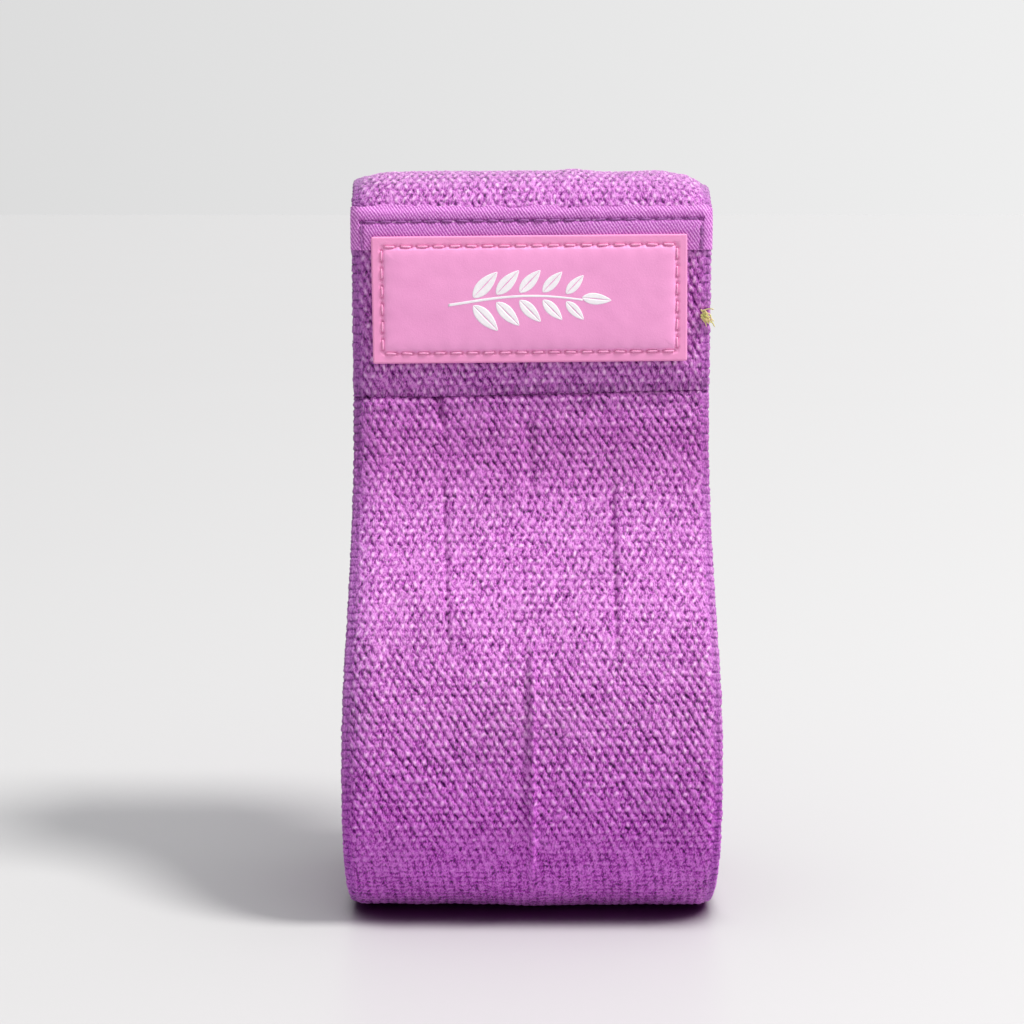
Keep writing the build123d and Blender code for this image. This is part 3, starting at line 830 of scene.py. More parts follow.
def ply(name, start, end, part, spacing, extra_width):
    """One closed, woven piece of webbing between two strip positions."""
    if part != "panel":
        end += OVERLAP
    spacing *= COARSE
    radius = PLY / 2
    rows = max(3, int(round((end - start) / spacing)) + 1)
    outer_count = int(round(MESH_WIDTH / spacing)) + 1
    inner_count = int(round(MESH_WIDTH / (INNER_SPACING * COARSE))) + 1

    # round the section: outer face, +X edge, inner face, -X edge
    counts = [outer_count, RIM_COUNT, inner_count, RIM_COUNT]
    outer, rim = (np.repeat(flags, counts)[None, :] for flags in (
        [True, False, False, False], [False, True, False, True]))
    share = np.concatenate([np.linspace(-1, 1, outer_count), np.ones(RIM_COUNT),
                            np.linspace(1, -1, inner_count), -np.ones(RIM_COUNT)])[None, :]
    turn = np.linspace(90, -90, RIM_COUNT + 2)[1:-1]
    degrees = np.concatenate([np.full(outer_count, 90.0), turn,
                              np.full(inner_count, -90.0), 180 - turn[::-1]])[None, :]

    row_along = np.linspace(start, end, rows)
    row_z = strip_at(row_along)[1]
    half_width = table_at(row_z, HALF_WIDTH)[:, None] + extra_width
    body = half_width - radius                    # the flat faces end here
    flat_x = share * body
    along = row_along[:, None] + 0 * share
    if part == "panel":                           # tilt the lower edge
        tilt = smooth(0, 1, (along - (end - 10)) / 10)
        along = along + tilt * (row_z[-1] - panel_edge(flat_x))
    y, z, normal_y, normal_z = strip_at(along)
    loop, loop_random = selvedge(along)
    height, shade, glint = weave(flat_x, along)
    edge = smooth(2.6, 1.2, half_width - np.abs(flat_x))

    # offset outwards from the path
    depth = WEAVE_DEPTH * table_at(z, DEPTH_SHARE)
    edge_relief = 0.14 * (loop - 1.0) + 0.22 * noise(flat_x / 0.5, along / 0.6, 61)
    outer_offset = (1 - edge) * (depth * (height - 0.95)) + edge * (edge_relief - 0.10)
    inner_offset = -PLY + (1 - edge) * 0.5 * depth * (0.95 - np.clip(height, 0, 1))
    rim_radius = (radius * (1 + 0.18 * (loop - 1.0)) + 0.08 * (loop_random - 0.5)
                  + 0.13 * noise(along / 0.45, degrees / 30.0, 62))
    angle = np.radians(degrees)
    rim_x = np.sign(share) * (body + np.abs(np.cos(angle) * rim_radius))
    x = np.where(rim, rim_x, flat_x)
    offset = np.where(outer, outer_offset, inner_offset)
    offset = np.where(rim, -radius + np.sin(angle) * rim_radius, offset)
    offset = offset + broad_relief(flat_x, z, along, part)
    if part == "panel":
        offset = offset - panel_pull(flat_x, z)
    else:
        under = smooth(0, 0.3, along - (end - 0.45))
        offset = offset - TUCK * under * np.where(rim | outer, 1.0, -1.0)
    points = np.stack([x, y + normal_y * offset, z + normal_z * offset], -1)
    if start >= FRONT_IN_SEAM:                    # the label end's top sags
        points[..., 2] -= droop(flat_x, z)

    # the height channel also sets the colour: the material darkens the low gaps and notches with
    # it as painted shade
    loop_height = 0.25 + 0.6 * loop
    tone_height = np.where(rim, loop_height, (1 - edge) * height + edge * loop_height)
    rim_glint = 0.25 * loop * hash_value(np.floor(along / 0.5), np.floor(degrees / 40.0), 63)
    tone = np.stack([
        np.clip(tone_height, 0, 1.2),
        shade * (1 - edge) + edge * loop_random,
        np.where(rim, 1.0, edge),
        np.where(rim, rim_glint, glint * (1 - 0.8 * edge))], -1)
    coord = np.stack([np.where(rim, x + np.sign(x) * 0.4, flat_x), along, offset], -1)
    columns = sum(counts)
    caps = (cap_faces(0, outer_count, inner_count, False)
            + cap_faces((rows - 1) * columns, outer_count, inner_count, True))
    return build_object(
        name, points.reshape(-1, 3), grid_faces(rows, columns, wrap=True, flip=True), caps,
        {"fab": tone.reshape(-1, 4), "fc": coord.reshape(-1, 3)})


# name, start, end, part, spacing, extra half width, replaced pieces, motion
PLIES = [
    ("front_fold", FRONT_CUT, FOLD, "front", 0.23, 0.0,
     ("front_bend_outer", "fold_outer_patch", "front_leg_outer"), FRONT_BEND),
    ("front_span", OVERLAP_END, FRONT_CUT, "front", 0.23, 0.0,
     ("front_span_outer",), FRONT_STRETCH),
    ("back_fold", FOLD, BACK_CUT, "ridged", 0.45, 0.0,
     ("back_bend_outer", "back_leg_outer"), BACK_BEND),
    ("back_span", BACK_CUT, BACK_SEAM, "ridged", 0.45, 0.0,
     ("back_span_outer",), BACK_STRETCH),
    ("back_end_loop", BACK_SEAM, BACK_IN_SEAM, "ridged", 0.45, 0.0,
     ("back_end_loop",), BACK_END),
    ("back_inner_span", BACK_IN_SEAM, BACK_IN_CUT, "ridged", 0.5, -0.15,
     ("back_span_inner",), BACK_STRETCH),
    ("back_inner_fold", BACK_IN_CUT, INNER_FOLD, "ridged", 0.5, -0.15,
     ("back_bend_inner", "back_leg_inner", "fold_inner_patch"), BACK_BEND),
    ("front_inner_fold", INNER_FOLD, FRONT_IN_CUT, "ridged", 0.5, -0.15,
     ("front_bend_inner", "front_leg_inner"), FRONT_BEND),
    ("front_inner_span", FRONT_IN_CUT, FRONT_IN_SEAM, "ridged", 0.5, -0.15,
     ("front_span_inner",), FRONT_STRETCH),
    ("label_end_rear", FRONT_IN_SEAM, PANEL_JOIN, "ridged", 0.4, 0.0,
     ("label_end_loop",), LABEL_END),
    ("label_panel", PANEL_JOIN, PANEL_END, "panel", 0.23, 0.0,
     ("label_end_loop",), LABEL_END),
    ("overlap_ply", 0.3, OVERLAP_END, "ridged", 0.7, -0.1,
     ("overlap_ply",), LABEL_END),
]
for name, start, end, part, spacing, extra_width, replaced, motion in PLIES:
    piece = ply("webbing_" + name, start, end, part, spacing, extra_width)
    fit(piece, WEBBING, replaced, motion)

# ---------------------------------------------------------------------------
# Rubber grip strips on the inner faces
# ---------------------------------------------------------------------------
GRIP_X = (-18.5, 0.0, 18.5)
GRIP_WIDTH, GRIP_THICKNESS = 4.0, 0.33
GRIP_DEPTH = PLY + 0.02                  # from the outer face to the strip's base
GRIP_SECTION = np.array([                # (x, height over the base)
    (-GRIP_WIDTH / 2, 0), (-GRIP_WIDTH / 2 + 0.25, GRIP_THICKNESS),
    (-GRIP_WIDTH / 4, GRIP_THICKNESS * 1.05), (0, GRIP_THICKNESS * 0.92),
    (GRIP_WIDTH / 4, GRIP_THICKNESS * 1.05), (GRIP_WIDTH / 2 - 0.25, GRIP_THICKNESS),
    (GRIP_WIDTH / 2, 0)])


def grips(name, stretches):
    """Thin rounded strips on the webbing's inner face, between pairs of strip positions."""
    parts = []
    for start, end in stretches:
        rows = max(3, int((end - start) / COARSE) + 1)
        y, z, normal_y, normal_z = (v[:, None] for v in strip_at(np.linspace(start, end, rows)))
        for grip_x in GRIP_X:
            depth = -(GRIP_DEPTH + GRIP_SECTION[:, 1])
            x = grip_x + GRIP_SECTION[:, 0] + 0 * y
            points = np.stack([x, y + normal_y * depth, z + normal_z * depth], -1)
            parts.append((points.reshape(-1, 3), grid_faces(rows, len(depth), wrap=True)))
    ob = build_object(name, *joined(parts))
    rounding = ob.modifiers.new("soft", "SUBSURF")
    rounding.levels = rounding.render_levels = 1
    return ob


# name, stretches, replaced pieces, motion
GRIPS = [
    ("fold_front", [(FRONT_CUT, FOLD), (INNER_FOLD, FRONT_IN_CUT)],
     ("fold_grip_strips", "front_bend_grips", "front_leg_grips"), FRONT_BEND),
    ("fold_back", [(FOLD, BACK_CUT), (BACK_IN_CUT, INNER_FOLD)],
     ("back_bend_grips", "back_leg_grips"), BACK_BEND),
    ("front_span", [(FRONT_SEAM, FRONT_CUT), (FRONT_IN_CUT, FRONT_IN_SEAM)],
     ("front_span_grips",), FRONT_STRETCH),
    ("back_span", [(BACK_CUT, BACK_SEAM), (BACK_IN_SEAM, BACK_IN_CUT)],
     ("back_span_grips",), BACK_STRETCH),
    ("label_end", [(FRONT_IN_SEAM, PANEL_TOP), (0.6, FRONT_SEAM)],
     ("label_end_grips",), LABEL_END),
    ("back_end", [(BACK_SEAM, BACK_IN_SEAM)], ("back_end_grips",), BACK_END),
]
for name, stretches, replaced, motion in GRIPS:
    fit(grips("grips_" + name, stretches), RUBBER, replaced, motion)

# ---------------------------------------------------------------------------
# Satin twill tape across the top of the label panel
# ---------------------------------------------------------------------------
TAPE_START, TAPE_END = PANEL_TOP - 4.3, PANEL_TOP + 5.2
TAPE_HALF = 37.9
TAPE_SPACING = 0.16
TAPE_STITCH_PITCH = 3.3
TAPE_SIDE_X = 36.6                       # the short upright stitch rows
FLOAT_PITCH = 0.62                       # between the diagonal satin floats


def tape_stitch_z(x):
    return 149.15 + x * 0.0101


def tape_section(spacing):
    """Rows of (x, outward, 1 where wrapped) over the face and round both edges."""
    count = int(2 * TAPE_HALF / spacing) + 1
    face = np.zeros((count, 3))
    face[:, 0] = np.linspace(-1, 1, count) * TAPE_HALF
    angle = np.linspace(0.12, math.pi, 18)
    turn = np.stack([TAPE_HALF + 1.24 * np.sin(angle), -1.30 + 1.30 * np.cos(angle),
                     np.ones_like(angle)], 1)
    tail = [(TAPE_HALF - back, -2.6, 1.0) for back in np.linspace(0.3, 3.2, 10)]
    right = np.concatenate([turn, tail])
    left = right[::-1] * (-1, 1, 1)
    return np.concatenate([left, face, right])


def tape():
    spacing = TAPE_SPACING * COARSE
    rows = int((TAPE_END - TAPE_START) / spacing) + 1
    section = tape_section(spacing)
    columns = len(section)
    x, outward, wrapped = (np.broadcast_to(v, (rows, columns)) for v in section.T)
    along = np.linspace(TAPE_START, TAPE_END, rows)[:, None] + 0 * x
    ragged = 0.40 * noise(x / 2.3, 5.0, 75) * smooth(TAPE_START + 2.5, TAPE_START, along)
    along = along + 0.14 * noise(x / 6.0, 2.0, 71) + ragged
    y, z, normal_y, normal_z = strip_at(along)
    cell = (x * 0.86 - along * 0.60) / FLOAT_PITCH + 0.25 * noise(x / 2.5, along / 2.5, 72)
    satin = np.sin(np.pi * (cell - np.floor(cell))) ** 0.8
    # the stitch line pulls a groove, deepest between the stitches
    above = z - tape_stitch_z(x)
    groove = bell(above, 0.42) * (np.abs(x) < 37.2)
    stitch = x / TAPE_STITCH_PITCH
    dash = 0.35 + 0.65 * bell(stitch - np.round(stitch), 0.26)
    side = (bell(x - TAPE_SIDE_X, 0.4) + bell(x + TAPE_SIDE_X, 0.4)) * (above < 0.3)
    plump = 0.22 * bell(above - 1.9, 1.3) + 0.18 * bell(above + 2.2, 1.6)
    top_edge = smooth(TAPE_START + 0.1, TAPE_START + 1.6, along + 0.5 * noise(x / 3.0, 7.0, 74))
    relief = plump + 0.08 * (satin - 0.5) - 0.55 * groove * dash - 0.35 * side
    offset = (0.16 + 0.24 * top_edge + outward + relief * (1 - wrapped * 0.6)
              + 0.10 * noise(x / 4.0, along / 3.0, 73)
              + broad_relief(np.clip(x, -39, 39), z, along, "panel"))
    points = np.stack([x, y + normal_y * offset, z + normal_z * offset], -1)
    shade = np.clip(satin * (1 - 0.85 * groove * dash), 0, 1)
    tone = np.stack([shade, satin, wrapped, np.ones_like(satin)], -1)
    coord = np.stack([x, along, outward], -1)
    ob = build_object(
        "satin_tape", points.reshape(-1, 3), grid_faces(rows, columns, flip=True),
        attributes={"fab": tone.reshape(-1, 4), "fc": coord.reshape(-1, 3)})
    solid = ob.modifiers.new("thickness", "SOLIDIFY")
    solid.thickness = 0.0004             # metres
    solid.offset = -1
    return ob


fit(tape(), TAPE, ("reinforcing_tape",))

# ---------------------------------------------------------------------------
# Label. Its own coordinates are u to the right, v up and out towards -Y.
# ---------------------------------------------------------------------------
backing_low, backing_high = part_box("label_backing")
pad_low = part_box("label_pad")[0]
LABEL_X = (backing_low[0] + backing_high[0]) / 2 * 1000
LABEL_Z = (backing_low[2] + backing_high[2]) / 2 * 1000
REAR_Y = backing_high[1] * 1000
FACE_Y = backing_low[1] * 1000
BACKING_THICKNESS = REAR_Y - FACE_Y
PAD_THICKNESS = FACE_Y - pad_low[1] * 1000
LABEL_WIDTH, LABEL_HEIGHT = 68.0, 27.3
TILT = math.radians(0.55)
STITCH_INSET, PAD_INSET = 2.2, 2.30
PAD_HALF_U, PAD_HALF_V = LABEL_WIDTH / 2 - PAD_INSET, LABEL_HEIGHT / 2 - PAD_INSET


def label_point(u, v, out):
    """Label coordinates to the product's."""
    x = LABEL_X + u * math.cos(TILT) - v * math.sin(TILT)
    z = LABEL_Z + u * math.sin(TILT) + v * math.cos(TILT)
    sag = 0.10 * np.cos(u / 9.0 + 1.0) + 0.06 * noise(u / 10.0, v / 8.0, 81)
    return np.stack([x, REAR_Y - out - sag * 0.6 - 0.06, z], -1)


def rounded(u, v, half_u, half_v, radius):
    """Moves a rectangular grid's corners in to a radius."""
    core_u = np.clip(u, -(half_u - radius), half_u - radius)
    core_v = np.clip(v, -(half_v - radius), half_v - radius)
    out_u, out_v = u - core_u, v - core_v
    reach = np.maximum(np.abs(out_u), np.abs(out_v))
    length = np.hypot(out_u, out_v)
    factor = np.where(length > 1e-9, reach / np.maximum(length, 1e-9), 1.0)
    return core_u + out_u * factor, core_v + out_v * factor


def label_stitch_places():
    """(u, v, unit u, unit v) of the stitches round the label: 18 a long side, 6 a short one."""
    width, height = LABEL_WIDTH - 2 * STITCH_INSET, LABEL_HEIGHT - 2 * STITCH_INSET
    places = []
    for i in range(18):
        u = -width / 2 + width * (i + 0.5) / 18
        places += [(u, height / 2, 1.0, 0.0), (u, -height / 2, 1.0, 0.0)]
    for i in range(6):
        v = -height / 2 + height * (i + 0.5) / 6
        places += [(width / 2, v, 0.0, 1.0), (-width / 2, v, 0.0, 1.0)]
    return places


LABEL_STITCHES = label_stitch_places()
HOLES = [(u + unit_u * end, v + unit_v * end)
         for u, v, unit_u, unit_v in LABEL_STITCHES for end in (-1.18, 1.18)]


def hole_field(u, v, radius):
    """1 at each stitch hole, falling to 0 round it."""
    depth = np.zeros_like(u)
    for hole_u, hole_v in HOLES:
        squared = (u - hole_u) ** 2 + (v - hole_v) ** 2
        depth = np.maximum(depth, np.exp(-(squared / radius ** 2)))
    return depth


def plate(name, half_u, half_v, radius, top, bottom, spacing):
    """A closed rounded-rectangle slab whose upper face follows top(u, v)."""
    spacing *= COARSE
    grid_u = np.linspace(-half_u, half_u, int(2 * half_u / spacing) + 1)
    grid_v = np.linspace(-half_v, half_v, int(2 * half_v / spacing) + 1)
    v, u = np.meshgrid(grid_v, grid_u, indexing="ij")
    u, v = rounded(u, v, half_u, half_v, radius)
    rows, columns = u.shape
    ring = grid_border(rows, columns)
    low_ring = rows * columns + np.arange(len(ring))
    low_next = np.roll(low_ring, -1)
    centre = np.full(len(ring), rows * columns + len(ring))
    wall = label_point(u.ravel()[ring], v.ravel()[ring], np.full(len(ring), bottom))
    middle = label_point(np.array([0.0]), np.array([0.0]), np.array([bottom]))
    verts = [label_point(u.ravel(), v.ravel(), top(u, v).ravel()), wall, middle]
    quads = [grid_faces(rows, columns),
             np.stack([ring, low_ring, low_next, np.roll(ring, -1)], -1)]
    ob = build_object(name, np.concatenate(verts), np.concatenate(quads),
                      np.stack([centre, low_next, low_ring], -1))
    face_outwards(ob)
    smooth_all(ob)
    return ob


def rim_top(u, v):
    """Rounded outer edge, then a channel with holes for the stitches."""
    inwards = np.minimum(LABEL_WIDTH / 2 - np.abs(u), LABEL_HEIGHT / 2 - np.abs(v))
    edge = BACKING_THICKNESS * (0.62 + 0.38 * np.clip(inwards / 0.22, 0, 1) ** 0.5)
    channel = 0.16 * bell(inwards - STITCH_INSET, 0.30)
    return edge - channel + 0.03 * noise(u / 2.2, v / 2.2, 91) - 0.40 * hole_field(u, v, 0.38)


def pad_height(u, v):
    """The padded panel's height above the backing's underside."""
    in_u, in_v = PAD_HALF_U - np.abs(u), PAD_HALF_V - np.abs(v)
    inwards = -0.9 * np.log(np.exp(-in_u / 0.9) + np.exp(-in_v / 0.9)) + 0.45
    inwards = np.clip(inwards, 0, None) * smooth(0, 0.6, np.minimum(in_u, in_v))
    rise = 1 - np.exp(-(inwards / 1.15) ** 1.1)
    crown = (1 - (u / PAD_HALF_U) ** 2) * (1 - (v / PAD_HALF_V) ** 2)
    tuck = np.exp(-inwards / 1.1) * 0.10
    ripple = np.where(np.abs(in_v) < np.abs(in_u),
                      np.cos(2 * np.pi * u / 3.74), np.cos(2 * np.pi * v / 3.82))
    soft = 0.05 * noise(u / 7.0, v / 5.0, 92) + 0.03 * noise(u / 2.5, v / 2.5, 93)
    return (BACKING_THICKNESS - 0.10 + (PAD_THICKNESS + 0.02) * rise + 0.22 * crown
            + soft * rise - tuck * ripple)


def pad_top(u, v):
    return pad_height(u, v) - 0.35 * hole_field(u, v, 0.40)


fit(plate("label_rim", LABEL_WIDTH / 2, LABEL_HEIGHT / 2, radius=0.55, top=rim_top,
          bottom=0.0, spacing=0.22),
    RIM, ("label_backing",))
fit(plate("label_padding", PAD_HALF_U, PAD_HALF_V, radius=0.8, top=pad_top,
          bottom=BACKING_THICKNESS - 0.5, spacing=0.20),
    PAD, ("label_pad",))


# ---------------------------------------------------------------------------
# The printed sprig
# ---------------------------------------------------------------------------
def print_patch(upper, lower):
    """A closed, slightly raised patch of print between two edge lines."""
    columns = 9
    share = np.linspace(0, 1, columns)
    u, v = (upper[:, None, i] * share + lower[:, None, i] * (1 - share) for i in (0, 1))
    edge = np.minimum(share, 1 - share) * 2 * np.linalg.norm(upper - lower, axis=1)[:, None]
    raised = 0.040 * np.clip(edge / 0.18, 0, 1) ** 0.5 + 0.012
    top = label_point(u.ravel(), v.ravel(), (pad_height(u, v) + raised).ravel())
    bottom = label_point(u.ravel(), v.ravel(), (pad_height(u, v) - 0.12).ravel())
    rows, count = len(upper), len(top)
    ring = grid_border(rows, columns)
    following = np.roll(ring, -1)
    side = np.stack([ring, ring + count, following + count, following], -1)
    faces = [grid_faces(rows, columns), grid_faces(rows, columns, base=count, flip=True), side]
    return np.concatenate([top, bottom]), np.concatenate(faces)


def stem_v(u):
    return 1.3 * np.cos(np.radians(u * 6.5)) - 0.6


def leaf_halves(centre_u, centre_v, turn, length, width):
    """Two patches with a fine gap along the vein; turn is in degrees."""
    share = np.linspace(-1, 1, 27)
    half = width / 2 * (1 - share ** 2) ** 0.8 * (1 - 0.25 * share) + 0.02
    vein = 0.10 * np.clip(1 - np.abs(share), 0, 1)
    cos, sin = math.cos(math.radians(turn)), math.sin(math.radians(turn))
    rotation = np.array([[cos, sin], [-sin, cos]])
    patches = []
    for side in (1, -1):
        inner, outer = (
            np.stack([share * length / 2, side * line_v], 1) @ rotation + (centre_u, centre_v)
            for line_v in (vein * 0.9 + 0.015, np.maximum(half, vein + 0.03)))
        patches.append(print_patch(*((outer, inner) if side > 0 else (inner, outer))))
    return patches


def sprig():
    """A stem with five pairs of leaves, shrinking towards one leaf at its tip."""
    parts = leaf_halves(14.4, float(stem_v(11.0)) + 0.1, turn=-6.0, length=6.4, width=2.4)
    for i, u in enumerate((-12.5, -7.5, -2.5, 2.5, 7.5)):
        size = 1.0 - 0.07 * i
        for side in (1, -1):
            turn = side * 46.0
            reach = 0.45 + 7.6 * size / 2
            parts += leaf_halves(
                u + reach * math.cos(math.radians(turn)),
                float(stem_v(u)) + side * 0.5 + reach * math.sin(math.radians(turn)),
                turn, length=7.6 * size, width=3.0 * size)
    u = np.linspace(-17.5, 11.4, 60)
    half = 0.30 * (1 - 0.35 * (u + 17.5) / 29)
    parts.append(print_patch(np.stack([u, stem_v(u) + half], 1),
                             np.stack([u, stem_v(u) - half], 1)))
    ob = build_object("label_print", *joined(parts))
    face_outwards(ob)
    return ob


fit(sprig(), PRINT, ("label_motif",))


# ---------------------------------------------------------------------------
# Threads
# ---------------------------------------------------------------------------
def threads(name, paths, radius, sides=10):
    """Short twisted threads along paths of points."""
    parts = []
    angle = np.linspace(0, 2 * np.pi, sides, endpoint=False)[None, :]
    for path in paths:
        path = np.asarray(path, float)
        tangent = np.gradient(path, axis=0)
        tangent /= np.linalg.norm(tangent, axis=1)[:, None]
        first = np.cross(tangent, np.array([0.0, -1.0, 0.0]))
        first /= np.maximum(np.linalg.norm(first, axis=1)[:, None], 1e-6)
        second = np.cross(first, tangent)
        lengths = np.linalg.norm(np.diff(path, axis=0), axis=1)
        share = np.concatenate([[0], np.cumsum(lengths)])
        share /= share[-1]
        # three strands twisted, with rounded ends
        strands = 1 + 0.16 * np.abs(np.cos(1.5 * (angle + 9.0 * share[:, None]))) - 0.08
        end = ((np.abs(share - 0.5) * 2 - 0.82) / 0.18).clip(0, 1)
        size = radius * strands * np.sqrt(np.clip(1 - end ** 2, 0.02, 1))[:, None]
        around = (np.cos(angle)[..., None] * first[:, None, :]
                  + np.sin(angle)[..., None] * second[:, None, :])
        ring = path[:, None, :] + size[..., None] * around
        parts.append((ring.reshape(-1, 3), grid_faces(len(path), sides, wrap=True)))
    ob = build_object(name, *joined(parts))
    face_outwards(ob, fill_holes=True)
    smooth_all(ob)
    return ob


def label_stitch_paths():
    paths = []
    q = np.linspace(-1, 1, 15)
    for i, (u, v, unit_u, unit_v) in enumerate(LABEL_STITCHES):
        skew = (hash_value(i, 0, 5) - 0.5) * 0.16
        out = BACKING_THICKNESS - 0.16 + 0.26 * (1 - np.abs(q) ** 3.5)
        paths.append(label_point(u + unit_u * q * 1.12 - unit_v * skew * q,
                                 v + unit_v * q * 1.12 + unit_u * skew * q, out))
    return paths


def tape_stitch_paths():
    """A row across the tape and two upright stitches at each side."""
    paths = []
    q = np.linspace(-1, 1, 13)
    for i in range(22):
        x = -34.65 + TAPE_STITCH_PITCH * i + q * 1.15
        stitch_z = tape_stitch_z(x) + (hash_value(i, 1, 6) - 0.5) * 0.2 * q
        along = []
        for z in stitch_z:
            chord = LABEL_LOOP_RADIUS ** 2 - max(z - LABEL_LOOP_Z, 0) ** 2
            loop_y = LABEL_LOOP_Y - math.sqrt(max(chord, 1))
            along.append(nearest_along(loop_y, z, LABEL_TOP, TOTAL))
        y, z, normal_y, normal_z = strip_at(np.array(along))
        offset = 0.30 + 0.05 * (1 - np.abs(q) ** 3) - 0.35 * np.abs(q) ** 4
        paths.append(np.stack([x, y + normal_y * offset, z + normal_z * offset], -1))
    offset = 0.38 + 0.10 * (1 - np.abs(q) ** 3) - 0.30 * np.abs(q) ** 4
    for x in (-TAPE_SIDE_X, TAPE_SIDE_X):
        for z in (147.1, 144.2):
            paths.append(np.stack([np.full_like(q, x), PANEL_Y - offset, z + q * 1.15], -1))
    return paths


def seam_stitch_paths():
    """Upright stitches along the panel's lower edge."""
    paths = []
    q = np.linspace(-1, 1, 11)
    for i in range(32):
        x = -36.9 + 2.38 * i + (hash_value(i, 2, 6) - 0.5) * 0.5
        lean = (hash_value(i, 3, 6) - 0.5) * 0.5
        y = PANEL_Y + 0.85 - 0.55 * (q * 0.5 + 0.5) + 0.35 * np.abs(q) ** 3
        paths.append(np.stack([x + q * lean, y, panel_edge(x) + 1.1 + q * 1.05], -1))
    return paths


def tuft_paths():
    """Loose curling threads at the panel's +X edge, kept within the CAD tuft."""
    limit_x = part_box("thread_tuft")[1][0] * 1000 - 0.2
    draw = np.random.default_rng(11).uniform
    paths = []
    q = np.linspace(0, 1, 14)[:, None]
    for _ in range(24):
        root = np.array([37.0 + draw(-0.5, 0.6), -4.15 + draw(-0.15, 0.25),
                         128.9 + draw(-1.3, 1.1)])
        length = draw(1.6, 3.4)
        heading = np.array([0.80 + 0.2 * draw(-1, 1), -0.22 + 0.25 * draw(-1, 1),
                            0.55 * draw(-1, 1) - 0.2])
        curl = np.array([draw(-1.2, 0.4), draw(-0.3, 0.6), draw(-1.2, 0.8)])
        wave = 0.18 * np.sin(q * draw(4, 9) + draw(0, 6)) * np.array([0.2, 0.5, 1.0])
        path = root + heading * q * length + curl * (q ** 2) * 1.1 + wave
        path[:, 0] = np.minimum(path[:, 0], limit_x)
        paths.append(path)
    return paths


fit(threads("label_stitches", label_stitch_paths(), radius=0.21),
    PINK, ("label_stitching",))
fit(threads("tape_stitches", tape_stitch_paths(), radius=0.20),
    PURPLE, ("tape_stitching",))
fit(threads("seam_stitches", seam_stitch_paths(), radius=0.17),
    PURPLE, ("joint_seam_stitching",))
fit(threads("loose_thread_tuft", tuft_paths(), radius=0.13, sides=7),
    LOOSE, ("thread_tuft",))


# ---------------------------------------------------------------------------
# Floor, light and camera, in metres
# ---------------------------------------------------------------------------
def paper_material():
    s = Surface("paper")
    coord = s.node("ShaderNodeTexCoord").outputs["Object"]
    x, y = s.axes(coord)[:2]
    # painted light: brighter towards +X, where the light comes from, over a width that grows
    # with distance
    behind = s.math("MAXIMUM", s.math("ADD", y, 0.3), 0.0)
    spread = s.math("ADD", 1.0, s.scaled(behind, 1.6))
    side = s.scaled(s.math("DIVIDE", x, spread), 2.2)
    colour = s.mix(s.math("ADD", 0.5, side, clamp=True),
                   (0.455, 0.455, 0.456), (0.580, 0.580, 0.582))
    mottle = s.noise(coord, scale=3.0, detail=2.0, roughness=0.5)
    colour = s.mix(s.scaled(mottle, 0.04), colour, (0.7, 0.7, 0.7))
    # a little greyer far behind
    far = s.math("MULTIPLY", s.math("ADD", y, -0.1), 0.12, clamp=True)
    far = s.scaled(s.math("MINIMUM", far, 0.5), 0.10)
    colour = s.mix(far, colour, (0.45, 0.45, 0.45))
    # painted contact shadow where the fold touches the floor, tinted dark purple as a painted
    # reflection of the fold
    contact_shadow = s.node("ShaderNodeAmbientOcclusion", samples=10)
    contact_shadow.inputs["Distance"].default_value = 0.013
    openness = s.map_range(contact_shadow.outputs["AO"], (0.28, 0.80), (0.0, 1.0), "SMOOTHSTEP")
    colour = s.mix(openness, (0.040, 0.004, 0.040), colour)
    # bounced light sees an even grey
    camera_ray = s.node("ShaderNodeLightPath").outputs["Is Camera Ray"]
    s.drive("Base Color", s.mix(camera_ray, (0.52, 0.52, 0.525), colour))
    s.set(Roughness=0.38, Specular_IOR_Level=0.18)
    return s.material


def floor():
    """A wide pale floor that runs on to the horizon."""
    columns = np.array([-30.0, -2.0, 2.0, 30.0]) / MM
    rows = np.array([-6.0, -1.0, 1.0, 60.0]) / MM
    ob = build_object("studio_floor", [(x, y, 0.0) for y in rows for x in columns],
                      grid_faces(len(rows), len(columns)))
    ob.data.materials.append(paper_material())


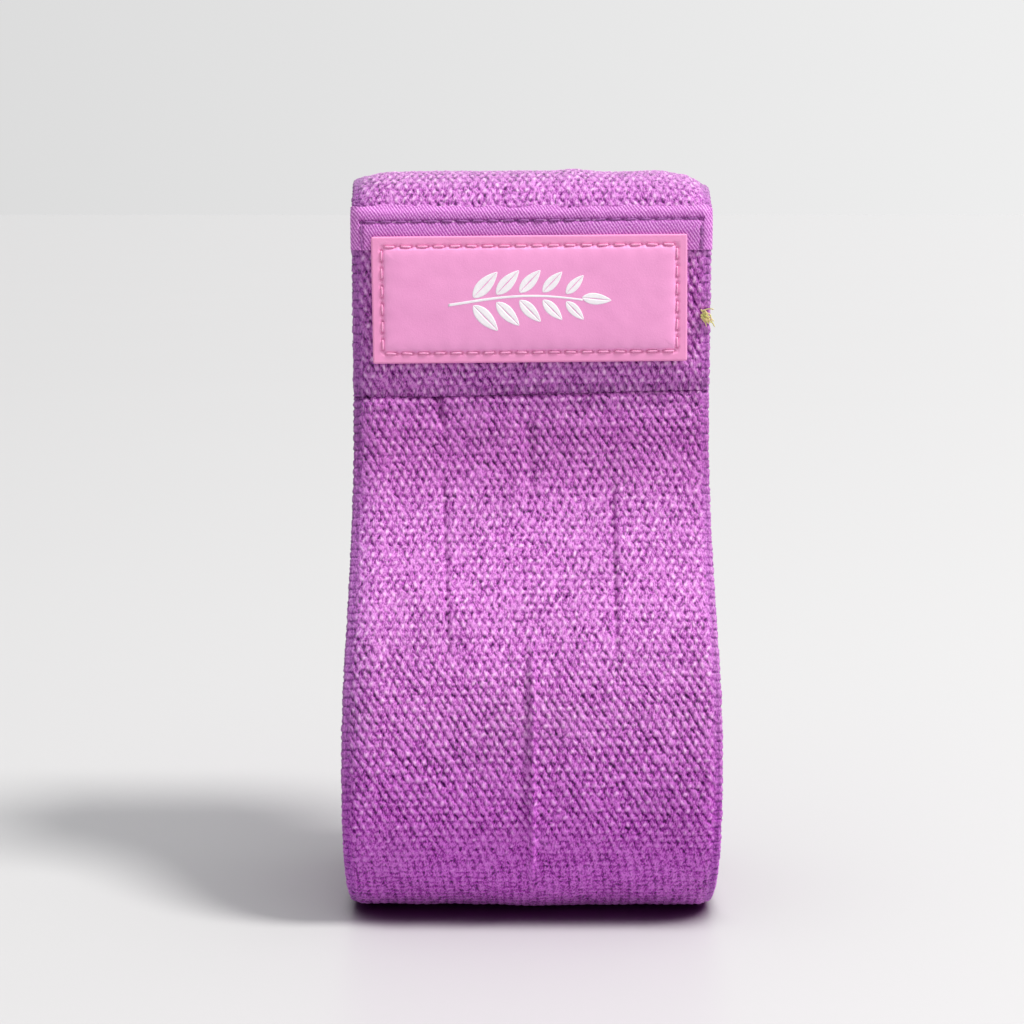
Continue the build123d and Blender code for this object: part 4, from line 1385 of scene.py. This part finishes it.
def key_light():
    """A soft sun from the right, in front and above."""
    sun = bpy.data.lights.new("key", "SUN")
    sun.energy = 3.30
    sun.angle = math.radians(15.0)
    sun.color = (1.0, 0.985, 0.96)
    ob = bpy.data.objects.new("key", sun)
    towards = Vector((0.66, -0.26, 1.0)).normalized()
    ob.rotation_euler = towards.to_track_quat("Z", "Y").to_euler()
    bpy.context.scene.collection.objects.link(ob)


def studio_world():
    """One sky that lights the product and another that the camera sees."""
    world = bpy.data.worlds.new("studio")
    bpy.context.scene.world = world
    world.use_nodes = True
    s = Graph(world.node_tree)
    output = s.node("ShaderNodeOutputWorld")
    lighting = s.node("ShaderNodeBackground")
    backdrop = s.node("ShaderNodeBackground")
    choice = s.node("ShaderNodeMixShader")
    x, _, z = s.axes(s.node("ShaderNodeTexCoord").outputs["Generated"])
    # the lighting is dim at the horizon, bright overhead and stronger towards +X
    overhead = s.map_range(z, (-0.05, 0.75), (0.28, 1.03))
    sideways = s.math("MULTIPLY_ADD", x, 0.30, 1.0)
    s.link(s.math("MULTIPLY", overhead, sideways), lighting.inputs["Strength"])
    lighting.inputs["Color"].default_value = (0.985, 0.985, 1.0, 1)
    # painted light: the backdrop is a little brighter towards +X, where the light comes from
    s.link(s.map_range(x, (-0.25, 0.25), (0.715, 0.862)), backdrop.inputs["Strength"])
    backdrop.inputs["Color"].default_value = (1.0, 1.0, 1.0, 1)
    s.link(s.node("ShaderNodeLightPath").outputs["Is Camera Ray"], choice.inputs[0])
    s.link(lighting.outputs[0], choice.inputs[1])
    s.link(backdrop.outputs[0], choice.inputs[2])
    s.link(choice.outputs[0], output.inputs[0])


def camera():
    """In front of the product, looking slightly down."""
    data = bpy.data.cameras.new("camera")
    data.lens = 75.7
    data.sensor_width = 36.0
    data.clip_start = 0.01
    ob = bpy.data.objects.new("camera", data)
    ob.location = (-0.0042, -0.4714, 0.1515)
    ob.rotation_euler = (math.radians(82.0), 0, 0)
    bpy.context.scene.collection.objects.link(ob)
    bpy.context.scene.camera = ob


floor()
key_light()
studio_world()
camera()
view = bpy.context.scene.view_settings
view.view_transform = "Standard"
view.look = "None"
view.exposure = 0.0
